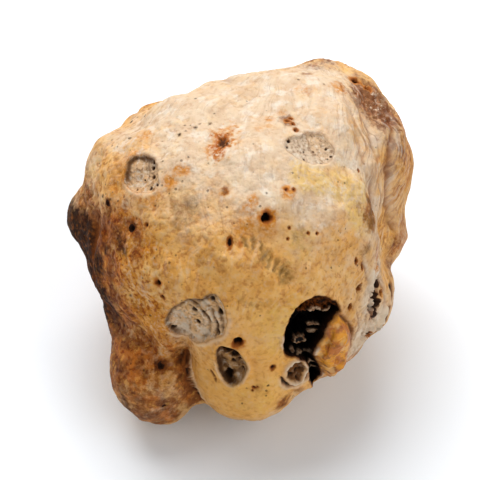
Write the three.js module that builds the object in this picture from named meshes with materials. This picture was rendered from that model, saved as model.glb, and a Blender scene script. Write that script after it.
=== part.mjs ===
// A bianchetto truffle, Tuber borchii: one whole fruit body, about 38 mm across.
// Units are millimetres, +Z is up and -Y is the front. The body stands on a small flat spot at z = 0, and
// the origin is at the bottom of its bounding box, in the middle.
//
// The skin is a star-shaped surface round a core point. Each lobe of the truffle is a ball, and along a ray
// from the core the skin lies at the smooth maximum of the distances at which that ray leaves the balls.
// Low waves, folds and hollows are then worked in, and what would reach below the table is pressed flat.

import * as THREE from "three";
import { ImprovedNoise } from "three/addons/math/ImprovedNoise.js";
import { mergeVertices } from "three/addons/utils/BufferGeometryUtils.js";

// Driving dimensions.
const CORE = new THREE.Vector3(0, 1, 17); // where every ray starts
const MEAN_RADIUS = 17; // turns an angle at the core into a length along the skin
const SKIN_DETAIL = 17; // an icosahedron's edges are each split into one piece more than this
const BLEND = 1.1; // sharpness of the smooth maximum, per millimetre: higher gives tighter valleys

// Waves of the skin: [height, waves in one radius, place in the noise].
const WAVES = [
  [0.55, 2.3, 27.5],
  [0.32, 4.6, 16.0],
  [0.14, 9.5, 7.0],
];

// Each lobe is a ball: x, y and z of its centre, and its radius.
const LOBES = {
  heart: [0, 0.8, 17.6, 15.9],
  crown_right: [8.4, 8.0, 21.9, 9.9],
  crown_middle: [2.4, 9.5, 23.5, 7.2],
  crown_left: [-5.8, 4.5, 19.7, 11.4],
  crest: [9.9, 14.5, 25.2, 4.3],
  shoulder_right: [13.6, 8.6, 19.0, 4.9],
  flank_right: [13.3, 3.6, 14.9, 4.9],
  hip_right: [11.9, -3.0, 12.4, 4.5],
  cheek_right: [8.6, -4.6, 13.4, 7.1],
  flap_right: [8.4, -7.4, 9.9, 3.6],
  cheek_left: [-7.9, -1.8, 16.0, 7.4],
  nub_left: [-15.1, 4.4, 16.5, 3.8],
  nub_root: [-13.1, 1.8, 13.4, 4.3],
  muzzle: [1.6, -7.4, 13.4, 7.9],
  chin: [1.3, -9.9, 8.8, 6.8],
  chin_root: [2.4, -3.6, 8.6, 8.2],
  jowl_left: [-8.6, -9.4, 7.3, 5.6],
  jowl_root: [-7.4, -3.8, 9.2, 7.6],
  jowl_left_tip: [-8.3, -11.0, 3.9, 2.8],
  back_left: [-7.0, 10.8, 13.2, 8.2],
  back_right: [6.6, 10.6, 11.6, 8.4],
  back_nub: [-1.6, 16.2, 18.2, 3.9],
  back_root: [0.4, 8.2, 12.0, 9.6],
  seat: [-0.2, 1.4, 10.4, 11.8],
};

// Each fold runs through directions from the core, written [azimuth, elevation] in degrees: azimuth 0 is
// the front and 90 the right. A fold with a negative depth is a raised ridge.
const FOLDS = {
  chin_cleft: { path: [[-23, -5], [-24, -14], [-23, -22], [-20, -31]], depth: 1.7, halfWidth: 1.3 },
  knob_fold: { path: [[16, -21], [23, -29], [25, -38], [22, -48]], depth: 0.9, halfWidth: 1.3 },
  jowl_fold: { path: [[-64, -18], [-42, -9], [-26, 2]], depth: 0.8, halfWidth: 2.0 },
  shoulder_fold: { path: [[140, 33], [121, 38], [107, 36], [98, 28], [97, 16]], depth: 1, halfWidth: 1.4 },
  hip_fold: { path: [[90, 14], [80, -2], [66, -12], [50, -14]], depth: 0.5, halfWidth: 1.3 },
  nub_fold: { path: [[-102, 30], [-90, 25], [-82, 16]], depth: 0.8, halfWidth: 1.3 },
  brow: { path: [[2, 50], [14, 44], [25, 32]], depth: 0.45, halfWidth: 1.8 },
  forehead_fold: { path: [[172, 76], [-60, 78], [-24, 62], [-27, 42]], depth: 0.5, halfWidth: 2.4 },
  nose_ridge: { path: [[10, 78], [4, 60], [-4, 40], [-2, 22]], depth: -0.5, halfWidth: 3.2 },
  temple_ridge: { path: [[150, 62], [110, 52], [84, 42], [72, 22]], depth: -0.45, halfWidth: 1.8 },
  back_cleft: { path: [[178, 34], [184, 12], [176, -8], [180, -30], [172, -50]], depth: 1.2, halfWidth: 2 },
  back_left_fold: { path: [[-118, 44], [-128, 20], [-122, 0], [-134, -22]], depth: 0.9, halfWidth: 1.8 },
  back_right_fold: { path: [[150, 28], [138, 10], [142, -12], [128, -28]], depth: 1.0, halfWidth: 1.6 },
  crown_left_fold: { path: [[-130, 36], [-141, 38], [-149, 39]], depth: 1.1, halfWidth: 2.4 },
  left_low_fold: { path: [[-92, -14], [-76, -26], [-58, -34]], depth: 0.8, halfWidth: 1.6 },
};

// Each hollow is a dent: its direction, the radius of its mouth across and along the truffle, and depth.
const HOLLOWS = {
  gnawed_hole: { at: [26, 4], across: 2.8, along: 4.1, depth: 4.6 },
  marbled_hole: { at: [-3, -7], across: 1.7, along: 2.7, depth: 1.7 },
  left_scar: { at: [-77, 50], across: 2.1, along: 1.9, depth: 0.6 },
  right_scar: { at: [89, 62], across: 2.5, along: 1.8, depth: 0.5 },
  double_scar: { at: [-18, 10], across: 3.4, along: 2.0, depth: 0.6 },
  back_scar: { at: [-160, 8], across: 2.0, along: 1.6, depth: 0.6 },
};
const FLOOR_EDGE = 0.45; // where a hollow's floor ends, as a share of its mouth's radius
const RIM_EDGE = 1.15; // where its wall runs out into the skin

const noise = new ImprovedNoise();

// The unit vector at an azimuth and an elevation, in degrees.
function direction([azimuth, elevation]) {
  const a = THREE.MathUtils.degToRad(azimuth);
  const e = THREE.MathUtils.degToRad(elevation);
  return new THREE.Vector3(Math.cos(e) * Math.sin(a), -Math.cos(e) * Math.cos(a), Math.sin(e));
}

// How far from the core a ray leaves a ball, or 0 where it misses.
function exitDistance(ray, [x, y, z, radius]) {
  const centre = new THREE.Vector3(x, y, z).sub(CORE);
  const along = centre.dot(ray);
  const inside = radius * radius - centre.lengthSq() + along * along;
  return inside > 0 ? Math.max(0, along + Math.sqrt(inside)) : 0;
}

// The lobed body, before anything is worked into it.
function lobedRadius(ray) {
  let sum = 0;
  for (const ball of Object.values(LOBES)) {
    sum += Math.exp(BLEND * exitDistance(ray, ball));
  }
  return Math.log(sum) / BLEND;
}

// Wide, low waves, so that no lobe is an exact ball.
function waveHeight(ray) {
  let height = 0;
  for (const [size, waves, place] of WAVES) {
    height += size * noise.noise(ray.x * waves + place, ray.y * waves, ray.z * waves);
  }
  return height;
}

// The length along the skin from a ray to the nearest point of a path of directions.
function distanceToPath(ray, path) {
  const nearest = new THREE.Vector3();
  let least = Math.PI;
  for (let i = 1; i < path.length; i++) {
    new THREE.Line3(path[i - 1], path[i]).closestPointToPoint(ray, true, nearest);
    least = Math.min(least, ray.angleTo(nearest));
  }
  return MEAN_RADIUS * least;
}

// How far the folds draw the skin in, or out where a ridge is.
function foldDepth(ray) {
  let depth = 0;
  for (const fold of folds) {
    depth += fold.depth * Math.exp(-((distanceToPath(ray, fold.path) / fold.halfWidth) ** 2));
  }
  return depth;
}

// How far the hollows sink the skin: a flat floor, then a wall that runs out past the mouth.
function hollowDepth(ray) {
  let sunk = 0;
  for (const { middle, right, up, across, along, depth } of hollows) {
    const offCentre = Math.hypot(ray.dot(right) / across, ray.dot(up) / along) * MEAN_RADIUS;
    const share = 1 - THREE.MathUtils.smoothstep(offCentre, FLOOR_EDGE, RIM_EDGE);
    sunk += ray.dot(middle) > 0 ? depth * share : 0;
  }
  return sunk;
}

// Where a ray from the core meets the skin. The flat spot is where it would pass through the table.
function skinPoint(ray) {
  const grown = lobedRadius(ray) + waveHeight(ray) - foldDepth(ray) - hollowDepth(ray);
  const toTable = ray.z < 0 ? CORE.z / -ray.z : Infinity;
  return ray.clone().multiplyScalar(Math.min(grown, toTable)).add(CORE);
}

const folds = Object.values(FOLDS).map((fold) => ({ ...fold, path: fold.path.map(direction) }));

// Each hollow with its own level axes, so that its mouth can be an oval.
const hollows = Object.values(HOLLOWS).map((hollow) => {
  const middle = direction(hollow.at);
  const right = new THREE.Vector3(0, 0, 1).cross(middle).normalize();
  return { ...hollow, middle, right, up: middle.clone().cross(right) };
});

// A sphere of near-equal triangles with every vertex moved out to the skin, standing over the origin.
function truffleGeometry() {
  const sphere = new THREE.IcosahedronGeometry(1, SKIN_DETAIL);
  sphere.deleteAttribute("normal");
  sphere.deleteAttribute("uv");
  const skin = mergeVertices(sphere, 1e-5);
  const position = skin.getAttribute("position");
  const ray = new THREE.Vector3();
  for (let i = 0; i < position.count; i++) {
    const point = skinPoint(ray.fromBufferAttribute(position, i).normalize());
    position.setXYZ(i, point.x, point.y, point.z);
  }
  skin.computeBoundingBox();
  const middle = skin.boundingBox.getCenter(new THREE.Vector3());
  skin.translate(-middle.x, -middle.y, 0);
  skin.computeVertexNormals();
  return skin;
}

const truffle = new THREE.Mesh(
  truffleGeometry(),
  new THREE.MeshStandardMaterial({ color: 0xd9b27c, roughness: 0.72, metalness: 0 }),
);
truffle.name = "truffle";

const part = new THREE.Group();
part.add(truffle);

export default part;
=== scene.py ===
"""A bianchetto truffle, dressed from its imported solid.

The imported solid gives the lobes, the folds and the place on the table. This script lays a finer skin over it
and works the small shapes into that skin: the gnawed hole and its flap, the porous scars, pits, creases and
wrinkles. Every small shape also leaves a mask on the skin, and the finish reads those masks.

Sizes inside the classes are millimetres. A place on the skin is a direction from the middle of the body, as
an azimuth and an elevation in degrees: azimuth 0 is the front and 90 the right.
"""

from __future__ import annotations

import logging
import math
from dataclasses import dataclass
from enum import Enum

import bmesh
import bpy
import numpy as np
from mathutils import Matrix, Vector
from mathutils import noise as blender_noise


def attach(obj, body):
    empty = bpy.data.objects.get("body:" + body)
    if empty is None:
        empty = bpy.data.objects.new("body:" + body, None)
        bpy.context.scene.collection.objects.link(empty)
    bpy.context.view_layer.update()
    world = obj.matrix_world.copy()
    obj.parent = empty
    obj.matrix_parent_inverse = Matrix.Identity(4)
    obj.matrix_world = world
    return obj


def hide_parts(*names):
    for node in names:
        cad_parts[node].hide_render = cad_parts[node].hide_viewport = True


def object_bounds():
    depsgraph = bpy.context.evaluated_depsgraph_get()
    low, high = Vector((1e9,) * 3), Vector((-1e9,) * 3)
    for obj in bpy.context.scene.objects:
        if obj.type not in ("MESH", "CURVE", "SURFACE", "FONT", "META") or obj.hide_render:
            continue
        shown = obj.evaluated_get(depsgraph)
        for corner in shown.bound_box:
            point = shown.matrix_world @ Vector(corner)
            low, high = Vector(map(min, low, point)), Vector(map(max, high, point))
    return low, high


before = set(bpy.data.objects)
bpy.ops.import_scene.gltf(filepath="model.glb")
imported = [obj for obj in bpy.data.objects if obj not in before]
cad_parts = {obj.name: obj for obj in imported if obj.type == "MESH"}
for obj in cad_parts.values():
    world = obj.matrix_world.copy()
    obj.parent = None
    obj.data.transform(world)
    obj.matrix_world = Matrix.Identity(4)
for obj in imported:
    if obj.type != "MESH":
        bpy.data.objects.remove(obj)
CAD_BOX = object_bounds()

MM = 0.001
NODE = "truffle"
LOOK_DOWN = 50.0  # degrees that the main view looks down by
BODY_MIDDLE = (Vector(CAD_BOX[0]) + Vector(CAD_BOX[1])) / 2  # in metres, where every direction starts
BODY_RADIUS = 17.0  # turns an angle at the middle into millimetres along the skin
NO_EDGE = 4.0  # an edge mark's value where no outline is near, in millimetres
FACING_REACH = 2.0  # a patch faces the mean way of the skin within this many millimetres
NOISE_FALL = 0.9  # how fast the finer layers of noise grow weaker
NOISE_STEP = 2.1  # how many times finer each layer is than the last

log = logging.getLogger("truffle")

Array = np.ndarray
Place = tuple[float, float]
Spot = tuple[float, float, float]  # right and up in a patch, and radius
Lump = tuple[float, ...]  # right and up in a patch, then its sizes and strengths
Rgba = tuple[float, float, float, float]
Socket = bpy.types.NodeSocket
Value = bpy.types.NodeSocket | float | tuple


# ---- Small helpers ----


def direction(place: Place) -> Array:
    """Turns an azimuth and an elevation into a unit vector.

    Args:
        place: azimuth and elevation in degrees.

    Returns:
        The unit vector from the middle of the body.
    """
    azimuth, elevation = np.radians(place)
    level = math.cos(elevation)
    return np.array([level * math.sin(azimuth), -level * math.cos(azimuth), math.sin(elevation)])


def unit(vectors: Array) -> Array:
    """Scales each vector to length one."""
    return vectors / np.maximum(np.linalg.norm(vectors, axis=-1, keepdims=True), 1e-12)


def ease(values: Array, start: float, end: float) -> Array:
    """Rises smoothly from 0 at start to 1 at end; falls if start is above end.

    Args:
        values: where to read the curve.
        start: where it is 0.
        end: where it is 1.

    Returns:
        Shares from 0 to 1.
    """
    share = np.clip((values - start) / (end - start), 0.0, 1.0)
    return share * share * (3.0 - 2.0 * share)


def bell(values: Array, middle: float, width: float) -> Array:
    """Rises to 1 at the middle and dies away on both sides.

    Args:
        values: where to read the curve.
        middle: where it is 1.
        width: how far from there it has sunk to about a third.

    Returns:
        Shares from 0 to 1.
    """
    return np.exp(-(((values - middle) / width) ** 2))


def fractal(points: Array, size: float, place: float, octaves: float = 2.0) -> Array:
    """Soft noise, about -1 to 1, at points in millimetres.

    Args:
        points: where to read it.
        size: width of its largest lumps.
        place: moves the noise, so that two uses differ.
        octaves: how many finer layers it has.

    Returns:
        One value for each point.
    """
    moved = points / size + np.array([place, 1.7 * place, -0.6 * place])
    return np.array([blender_noise.fractal(Vector(p), NOISE_FALL, NOISE_STEP, octaves) for p in moved])


def spline(a: Array, b: Array, c: Array, d: Array, t: float) -> Array:
    """Reads a smooth curve between two of its knots.

    Args:
        a: the knot before the stretch.
        b: where the stretch starts.
        c: where it ends.
        d: the knot after it.
        t: share of the way from b to c.

    Returns:
        The place on the curve.
    """
    bend = 2 * a - 5 * b + 4 * c - d
    twist = 3 * b - a - 3 * c + d
    return 0.5 * (2 * b + (c - a) * t + bend * t**2 + twist * t**3)


def add_object(name: str, data: bpy.types.ID) -> bpy.types.Object:
    """Puts an object into the scene.

    Args:
        name: the object's name.
        data: its mesh, lamp or camera.

    Returns:
        The object.
    """
    made = bpy.data.objects.new(name, data)
    bpy.context.scene.collection.objects.link(made)
    return made


def smooth_path(controls: list[Place], steps: int = 12) -> Array:
    """Rounds a path of places into many directions.

    Args:
        controls: the places that the path runs through.
        steps: directions made for each stretch between two places.

    Returns:
        Unit vectors along the path.
    """
    knots = np.array([direction(c) for c in controls])
    ends = np.vstack([2 * knots[0] - knots[1], knots, 2 * knots[-1] - knots[-2]])
    made = []
    for i in range(1, len(ends) - 2):
        for t in np.arange(steps) / steps:
            made.append(spline(*ends[i - 1 : i + 3], t))
    made.append(knots[-1])
    return unit(np.array(made))


def rounded(corners: tuple[Place, ...], steps: int = 8) -> Array:
    """Rounds a closed outline through its corners.

    Args:
        corners: points that the outline runs through, in order.
        steps: points made for each stretch.

    Returns:
        The smooth outline.
    """
    knots = np.array(corners)
    a, b, c, d = (np.roll(knots, k, axis=0) for k in (1, 0, -1, -2))
    made = [spline(a, b, c, d, t) for t in np.arange(steps) / steps]
    return np.stack(made, axis=1).reshape(-1, 2)


# ---- The skin while it is worked ----


@dataclass
class Region:
    """Some points of the skin, which are moved and marked together."""

    skin: Skin
    index: Array

    @property
    def points(self) -> Array:
        """The region's points, in millimetres."""
        return self.skin.points[self.index]

    def rise(self, height: Array) -> None:
        """Lifts each point out of the skin."""
        self.skin.lift[self.index] += height

    def sink(self, depth: Array) -> None:
        """Sinks each point into the skin."""
        self.skin.lift[self.index] -= depth

    def mark(self, name: str, values: Array) -> None:
        """Marks each point in a mask, keeping the stronger of what is there and what is new."""
        mask = self.skin.masks.setdefault(name, np.zeros(len(self.skin.points)))
        mask[self.index] = np.maximum(mask[self.index], values)

    def fade(self, name: str, shares: Array) -> None:
        """Takes a share of a mask away."""
        self.skin.masks[name][self.index] *= 1.0 - shares

    def edge_mark(self, name: str, distance: Array) -> None:
        """Marks how far each point is outside an outline, keeping the nearest outline."""
        mask = self.skin.masks.setdefault(name, np.full(len(self.skin.points), NO_EDGE))
        mask[self.index] = np.minimum(mask[self.index], distance)


@dataclass
class Patch(Region):
    """The part of the skin near one place, measured in that place's own level axes."""

    right: Array
    up: Array
    out: Array
    normal: Array

    def gap(self, right: float, up: float, wide: float = 1.0, high: float = 1.0) -> Array:
        """Distance of each point from a spot, in millimetres or in the spot's own half sizes."""
        return np.hypot((self.right - right) / wide, (self.up - up) / high)

    def outside(self, corners: tuple[Place, ...], steps: int = 8) -> Array:
        """Distance of each point from a closed outline, rounded through its corners.

        Args:
            corners: points that the outline runs through, in order.
            steps: points made for each stretch between two corners.

        Returns:
            The distances, negative inside.
        """
        points = np.column_stack([self.right, self.up])
        nearest = np.full(len(points), np.inf)
        inside = np.zeros(len(points), dtype=bool)
        outline = rounded(corners, steps)
        for a, b in zip(outline, np.roll(outline, -1, axis=0)):
            along = b - a
            share = np.clip((points - a) @ along / max(along @ along, 1e-12), 0.0, 1.0)
            nearest = np.minimum(nearest, np.linalg.norm(points - a - share[:, None] * along, axis=1))
            crosses = (a[1] > points[:, 1]) != (b[1] > points[:, 1])
            rise = along[1] if abs(along[1]) > 1e-12 else 1e-12
            inside ^= crosses & (points[:, 0] < a[0] + (points[:, 1] - a[1]) * along[0] / rise)
        return np.where(inside, -nearest, nearest)

    def push_in(self, depth: Array) -> None:
        """Sinks a deep hole: half into the skin and half away from a viewer above the front.

        Args:
            depth: how far each point goes, in millimetres.
        """
        tilt = math.radians(LOOK_DOWN)
        way = -unit(self.normal + np.array([0.0, -math.cos(tilt), math.sin(tilt)]))
        self.skin.shift[self.index] += depth[:, None] * way


@dataclass
class Strip(Region):
    """The part of the skin near a path."""

    distance: Array
    left: Array
    along: Array

    @property
    def signed(self) -> Array:
        """The distance from the path, negative on its right as seen from outside."""
        return np.where(self.left, self.distance, -self.distance)


class Skin:
    """The points of the skin in millimetres, with how far each is to be moved and what it is marked with."""

    def __init__(self, mesh: bpy.types.Mesh) -> None:
        """Reads the mesh.

        Args:
            mesh: the fine skin, in metres.
        """
        self.points = read_rows(mesh.vertices, "co") / MM
        self.normals = read_rows(mesh.vertices, "normal")
        self.rays = unit(self.points - np.array(BODY_MIDDLE) / MM)
        self.lift = np.zeros(len(self.points))
        self.shift = np.zeros_like(self.points)
        self.masks: dict[str, Array] = {}

    def at(self, way: Array) -> int:
        """The point that a ray from the middle leaves through."""
        return int(np.argmax(self.rays @ way))

    def patch(self, place: Place, reach: float, turn: float = 0.0) -> Patch:
        """Finds the skin near a place.

        Args:
            place: azimuth and elevation in degrees.
            reach: how far the patch goes, in millimetres.
            turn: turns its axes to the left, in degrees.

        Returns:
            The patch, with up along the skin towards the top as seen in the main view.
        """
        centre = self.points[self.at(direction(place))]
        gaps = np.linalg.norm(self.points - centre, axis=1)
        normal = unit(self.normals[gaps < FACING_REACH].sum(axis=0))
        tilt = math.radians(LOOK_DOWN)
        away = np.array([0.0, math.sin(tilt), math.cos(tilt)])
        up = unit(away - (away @ normal) * normal)
        right = np.cross(up, normal)
        angle = math.radians(turn)
        right, up = (
            right * math.cos(angle) + up * math.sin(angle),
            up * math.cos(angle) - right * math.sin(angle),
        )
        index = np.flatnonzero(gaps < reach)
        offset = self.points[index] - centre
        return Patch(self, index, offset @ right, offset @ up, offset @ normal, normal)

    def strip(self, path: list[Place], reach: float) -> Strip:
        """Finds the skin near a path.

        Args:
            path: the places that the path runs through.
            reach: how far from the path the strip goes, in millimetres.

        Returns:
            The strip, measured from 0 to 1 along the path.
        """
        line = np.array([self.at(way) for way in smooth_path(path)])
        line = line[np.concatenate([[True], np.diff(line) != 0])]
        knots, normals = self.points[line], self.normals[line]
        low, high = knots.min(axis=0) - reach, knots.max(axis=0) + reach
        index = np.flatnonzero(((self.points > low) & (self.points < high)).all(axis=1))
        points = self.points[index]
        nearest = np.full(len(index), np.inf)
        left = np.zeros(len(index), dtype=bool)
        along = np.zeros(len(index))
        lengths = np.linalg.norm(np.diff(knots, axis=0), axis=1)
        starts = np.concatenate([[0.0], np.cumsum(lengths)])
        for i, length in enumerate(lengths):
            step = knots[i + 1] - knots[i]
            share = np.clip((points - knots[i]) @ step / (length * length), 0.0, 1.0)
            offset = points - knots[i] - share[:, None] * step
            gap = np.linalg.norm(offset, axis=1)
            nearer = gap < nearest
            nearest[nearer] = gap[nearer]
            left[nearer] = (offset @ np.cross(normals[i], step))[nearer] > 0
            along[nearer] = ((starts[i] + share * length) / starts[-1])[nearer]
        near = nearest < reach
        return Strip(self, index[near], nearest[near], left[near], along[near])

    def settle(self) -> None:
        """Moves every point by what has been gathered."""
        self.points = self.points + self.normals * self.lift[:, None] + self.shift


def read_rows(vertices: bpy.types.MeshVertices, name: str) -> Array:
    """Reads a vector of every vertex.

    Args:
        vertices: a mesh's vertices.
        name: what to read, such as co or normal.

    Returns:
        One row for each vertex.
    """
    rows = np.empty(len(vertices) * 3)
    vertices.foreach_get(name, rows)
    return rows.reshape(-1, 3)


# ---- Small shapes of the skin ----


def oval(across: float, along: float) -> tuple[Place, ...]:
    """Makes a slightly uneven oval outline round the origin.

    Args:
        across: half its width, in millimetres.
        along: half its height, in millimetres.

    Returns:
        The outline's corners.
    """
    count = 10
    uneven = 0.06
    corners = []
    for i in range(count):
        angle = 2 * math.pi * i / count
        share = 1.0 + uneven * math.sin(3 * angle + 9 * across) + uneven * math.sin(5 * angle + 7 * along)
        corners.append((share * across * math.cos(angle), share * along * math.sin(angle)))
    return tuple(corners)


@dataclass(frozen=True)
class PlainHollow:
    """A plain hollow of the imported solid, which is closed before its true shape is cut."""

    at: Place
    reach: float
    wide: float
    high: float
    ring: float = 1.45  # how far out the skin is read for its curve, as a share of the hollow's size

    def close(self, skin: Skin) -> None:
        """Draws the skin over the hollow, following the curve of the skin round it.

        Args:
            skin: the skin.
        """
        patch = skin.patch(self.at, self.reach)
        off = patch.gap(0.0, 0.0, self.wide, self.high)
        powers = [(0, 0), (1, 0), (0, 1), (2, 0), (1, 1), (0, 2), (3, 0), (2, 1), (1, 2), (0, 3)]
        terms = np.column_stack([patch.right**i * patch.up**j for i, j in powers])
        ring = (off > 1.0) & (off < self.ring)
        fitted = terms @ np.linalg.lstsq(terms[ring], patch.out[ring], rcond=None)[0]
        share = ease(off, 1.05, 0.85)
        skin.points[patch.index] += (share * (fitted - patch.out))[:, None] * patch.normal


@dataclass(frozen=True)
class Scar:
    """A grazed scar: an outlined floor of bare, porous flesh under a shaded upper rim."""

    at: Place
    outline: tuple[Place, ...]
    depth: float = 0.4
    fresh: float = 0.5  # 0 is old and dark flesh, 1 is new and pale
    pores: tuple[Spot, ...] = ()
    cups: tuple[Lump, ...] = ()  # radius and depth
    ribs_at: Place = (0.0, 0.0)  # right and up of the middle of the ribs' arcs
    ribs: tuple[tuple[float, float, float], ...] = ()  # radius of the arc, width and strength
    pale: tuple[Spot, ...] = ()  # where old skin or pale flesh is left on the floor
    shaded: float = 0.3  # how much shade is painted under the upper rim
    lip_height: float = 0.09
    groove_depth: float = 0.28
    ridge_height: float = 0.1

    def reach(self) -> float:
        """The farthest corner's distance from the middle."""
        return max(math.hypot(*corner) for corner in self.outline)

    def work(self, skin: Skin) -> None:
        """Sinks the floor, raises the lip and marks both.

        Args:
            skin: the skin.
        """
        patch = skin.patch(self.at, self.reach() + 2.0)
        edge = patch.outside(self.outline) + 0.1 * fractal(patch.points, 0.8, 11.0)
        floor = ease(edge, 0.06, -0.3)
        self.sink_floor(patch, floor)
        self.draw_ribs(patch, floor)
        self.shade_rim(patch, edge)
        lip = bell(edge, 0.3, 0.22)
        patch.rise(self.lip_height * lip)
        # pale lip, strongest low on the scar: pale skin with a painted highlight where the lower lip faces the
        # light
        patch.mark("rim", 0.45 * lip * ease(patch.up - 0.3 * patch.right, 0.4, -1.0))
        patch.mark("fresh", self.fresh * ease(edge, 0.4, 0.1))
        patch.edge_mark("scar", edge)

    def sink_floor(self, patch: Patch, floor: Array) -> None:
        """Sinks the floor with its cups and pores, and lays its pale spots.

        Args:
            patch: the skin near the scar.
            floor: 1 on the floor and 0 outside it.
        """
        patch.sink(self.depth * floor * (1.0 - 0.15 * fractal(patch.points, 0.6, 12.0)))
        for right, up, radius, depth in self.cups:
            patch.sink(depth * floor * ease(patch.gap(right, up), radius, 0.35 * radius))
        for right, up, radius in self.pores:
            hole = ease(patch.gap(right, up), 1.35 * radius, 0.6 * radius)
            patch.sink(0.9 * radius * hole)
            patch.mark("shade", hole)
        for right, up, radius in self.pale:
            off = patch.gap(right, up) + 0.4 * fractal(patch.points, 0.7, 39.0)
            patch.mark("rim", 0.75 * floor * ease(off, 1.2 * radius, 0.4 * radius))

    def draw_ribs(self, patch: Patch, floor: Array) -> None:
        """Draws curved dark grooves, each with a pale ridge inside it, over the floor's right half.

        Args:
            patch: the skin near the scar.
            floor: 1 on the floor and 0 outside it.
        """
        off = patch.gap(*self.ribs_at) + 0.16 * fractal(patch.points, 1.0, 19.0)
        for radius, width, strength in self.ribs:
            groove = strength * floor * bell(off, radius, width) * ease(patch.right, -0.4, 0.6)
            groove *= np.clip(1.0 + 0.7 * fractal(patch.points, 0.9, 45.0), 0.2, 1.3)
            ridge = strength * floor * bell(off, radius - 2.2 * width, width) * ease(patch.right, 0.0, 1.0)
            patch.sink(self.groove_depth * groove - self.ridge_height * ridge)
            patch.mark("shade", groove)
            patch.mark("rim", 0.35 * ridge)

    def shade_rim(self, patch: Patch, edge: Array) -> None:
        """Paints shade on the flesh under the upper left of the rim, where its inner wall is turned from the
        light.

        Args:
            patch: the skin near the scar.
            edge: each point's distance from the outline.
        """
        shade = self.shaded * ease(edge, 0.1, -0.15) * ease(edge, -0.8, -0.15)
        shade *= ease(patch.up - 0.7 * patch.right, -0.8, 1.2)
        shade *= np.clip(1.0 + 0.6 * fractal(patch.points, 0.7, 43.0), 0.3, 1.2)
        patch.mark("shade", shade)
        # painted shade: the wall under the rim is browned as well
        patch.mark("raw_flesh_and_shade", np.clip(2.0 * shade, 0.0, 0.85))


@dataclass(frozen=True)
class Pit:
    """A small round hole, with a stained halo round it."""

    at: Place
    radius: float
    depth: float
    halo: float  # how far it is stained round, in radii
    stretch: float = 1.0
    turn: float = 0.0

    def work(self, skin: Skin) -> None:
        """Sinks the hole and marks it and its halo.

        Args:
            skin: the skin.
        """
        wide = self.radius * max(1.0, self.stretch)
        patch = skin.patch(self.at, (1.2 + self.halo) * wide + 0.4, self.turn)
        points = patch.points
        off = patch.gap(0.0, 0.0, 1.0, self.stretch)
        distance = off - self.radius + 0.3 * self.radius * fractal(points, self.radius, 3.0)
        patch.sink(self.depth * ease(distance, 0.3 * self.radius, -0.5 * self.radius))
        patch.sink(0.12 * self.radius * bell(np.maximum(distance, 0), 0.0, self.radius))
        patch.edge_mark("hole", distance)
        if self.halo:
            spread = distance + 0.5 * self.radius * fractal(points, 1.2 * self.radius, 33.0)
            patch.mark("halo", ease(spread, self.halo * self.radius, 0.1 * self.radius))
        else:
            # no halo: dark round the mouth, partly staining and partly painted shade of the pit
            patch.mark("stain_and_shade", 1.4 * ease(distance, 0.25, 0.05))


@dataclass(frozen=True)
class Crease:
    """A narrow fold or a raised thread along a path. A negative depth raises it."""

    path: list[Place]
    depth: float
    width: float
    # how dark the fold's line is: staining and painted shade
    stain_and_shade: float = 0.0
    pale: float = 0.0

    def work(self, skin: Skin) -> None:
        """Draws the skin in along the path.

        Args:
            skin: the skin.
        """
        strip = skin.strip(self.path, 5.0 * self.width)
        taper = ease(strip.along, 0.0, 0.2) * ease(strip.along, 1.0, 0.8)
        taper *= np.clip(1.0 + 0.5 * fractal(strip.points, 1.3, 5.0), 0.0, 2.0)
        strip.sink(self.depth * taper * np.exp(-((strip.distance / self.width) ** 1.6)))
        line = bell(strip.distance, 0.0, self.width)
        # dark along the fold's line: staining and painted shade in the fold
        strip.mark("stain_and_shade", self.stain_and_shade * taper * line)
        beside = bell(strip.signed / self.width, 1.3, 1.0)
        strip.mark("rim", self.pale * taper * (line if self.depth < 0 else beside))


@dataclass(frozen=True)
class Overlap:
    """An edge where one lobe lies over the next: a rounded step up on its left side."""

    path: list[Place]
    rise: float
    sink: float
    width: float = 0.9

    def work(self, skin: Skin) -> None:
        """Raises the left side of the path, sinks the right, paints a shadow at the foot and a highlight along
        the step's top.

        Args:
            skin: the skin.
        """
        strip = skin.strip(self.path, 4.0 * self.width)
        taper = ease(strip.along, 0.1, 0.55) * ease(strip.along, 1.0, 0.9)
        signed = strip.signed + 0.1 * fractal(strip.points, 1.1, 15.0)
        upper = ease(signed, -0.1, 0.4) * bell(np.maximum(signed, 0), 0.0, 2.2 * self.width)
        lower = ease(signed, 0.1, -0.25) * bell(np.minimum(signed, 0), 0.0, self.width)
        strip.rise(taper * (self.rise * upper - self.sink * lower))
        # painted shadow along the foot of the step
        strip.mark("stain_and_shade", taper * bell(signed, -0.18, 0.24))
        # painted highlight: a thin pale line along the top of the step
        strip.mark("rim", 0.5 * taper * bell(signed, 0.28, 0.16))
        for name in ("brown", "umber_and_shade"):
            strip.fade(name, taper * ease(signed, -0.05, 0.25))
        strip.mark("brown", taper * ease(signed, 0.05, -0.1) * ease(signed, -2.6, -1.0))


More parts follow.
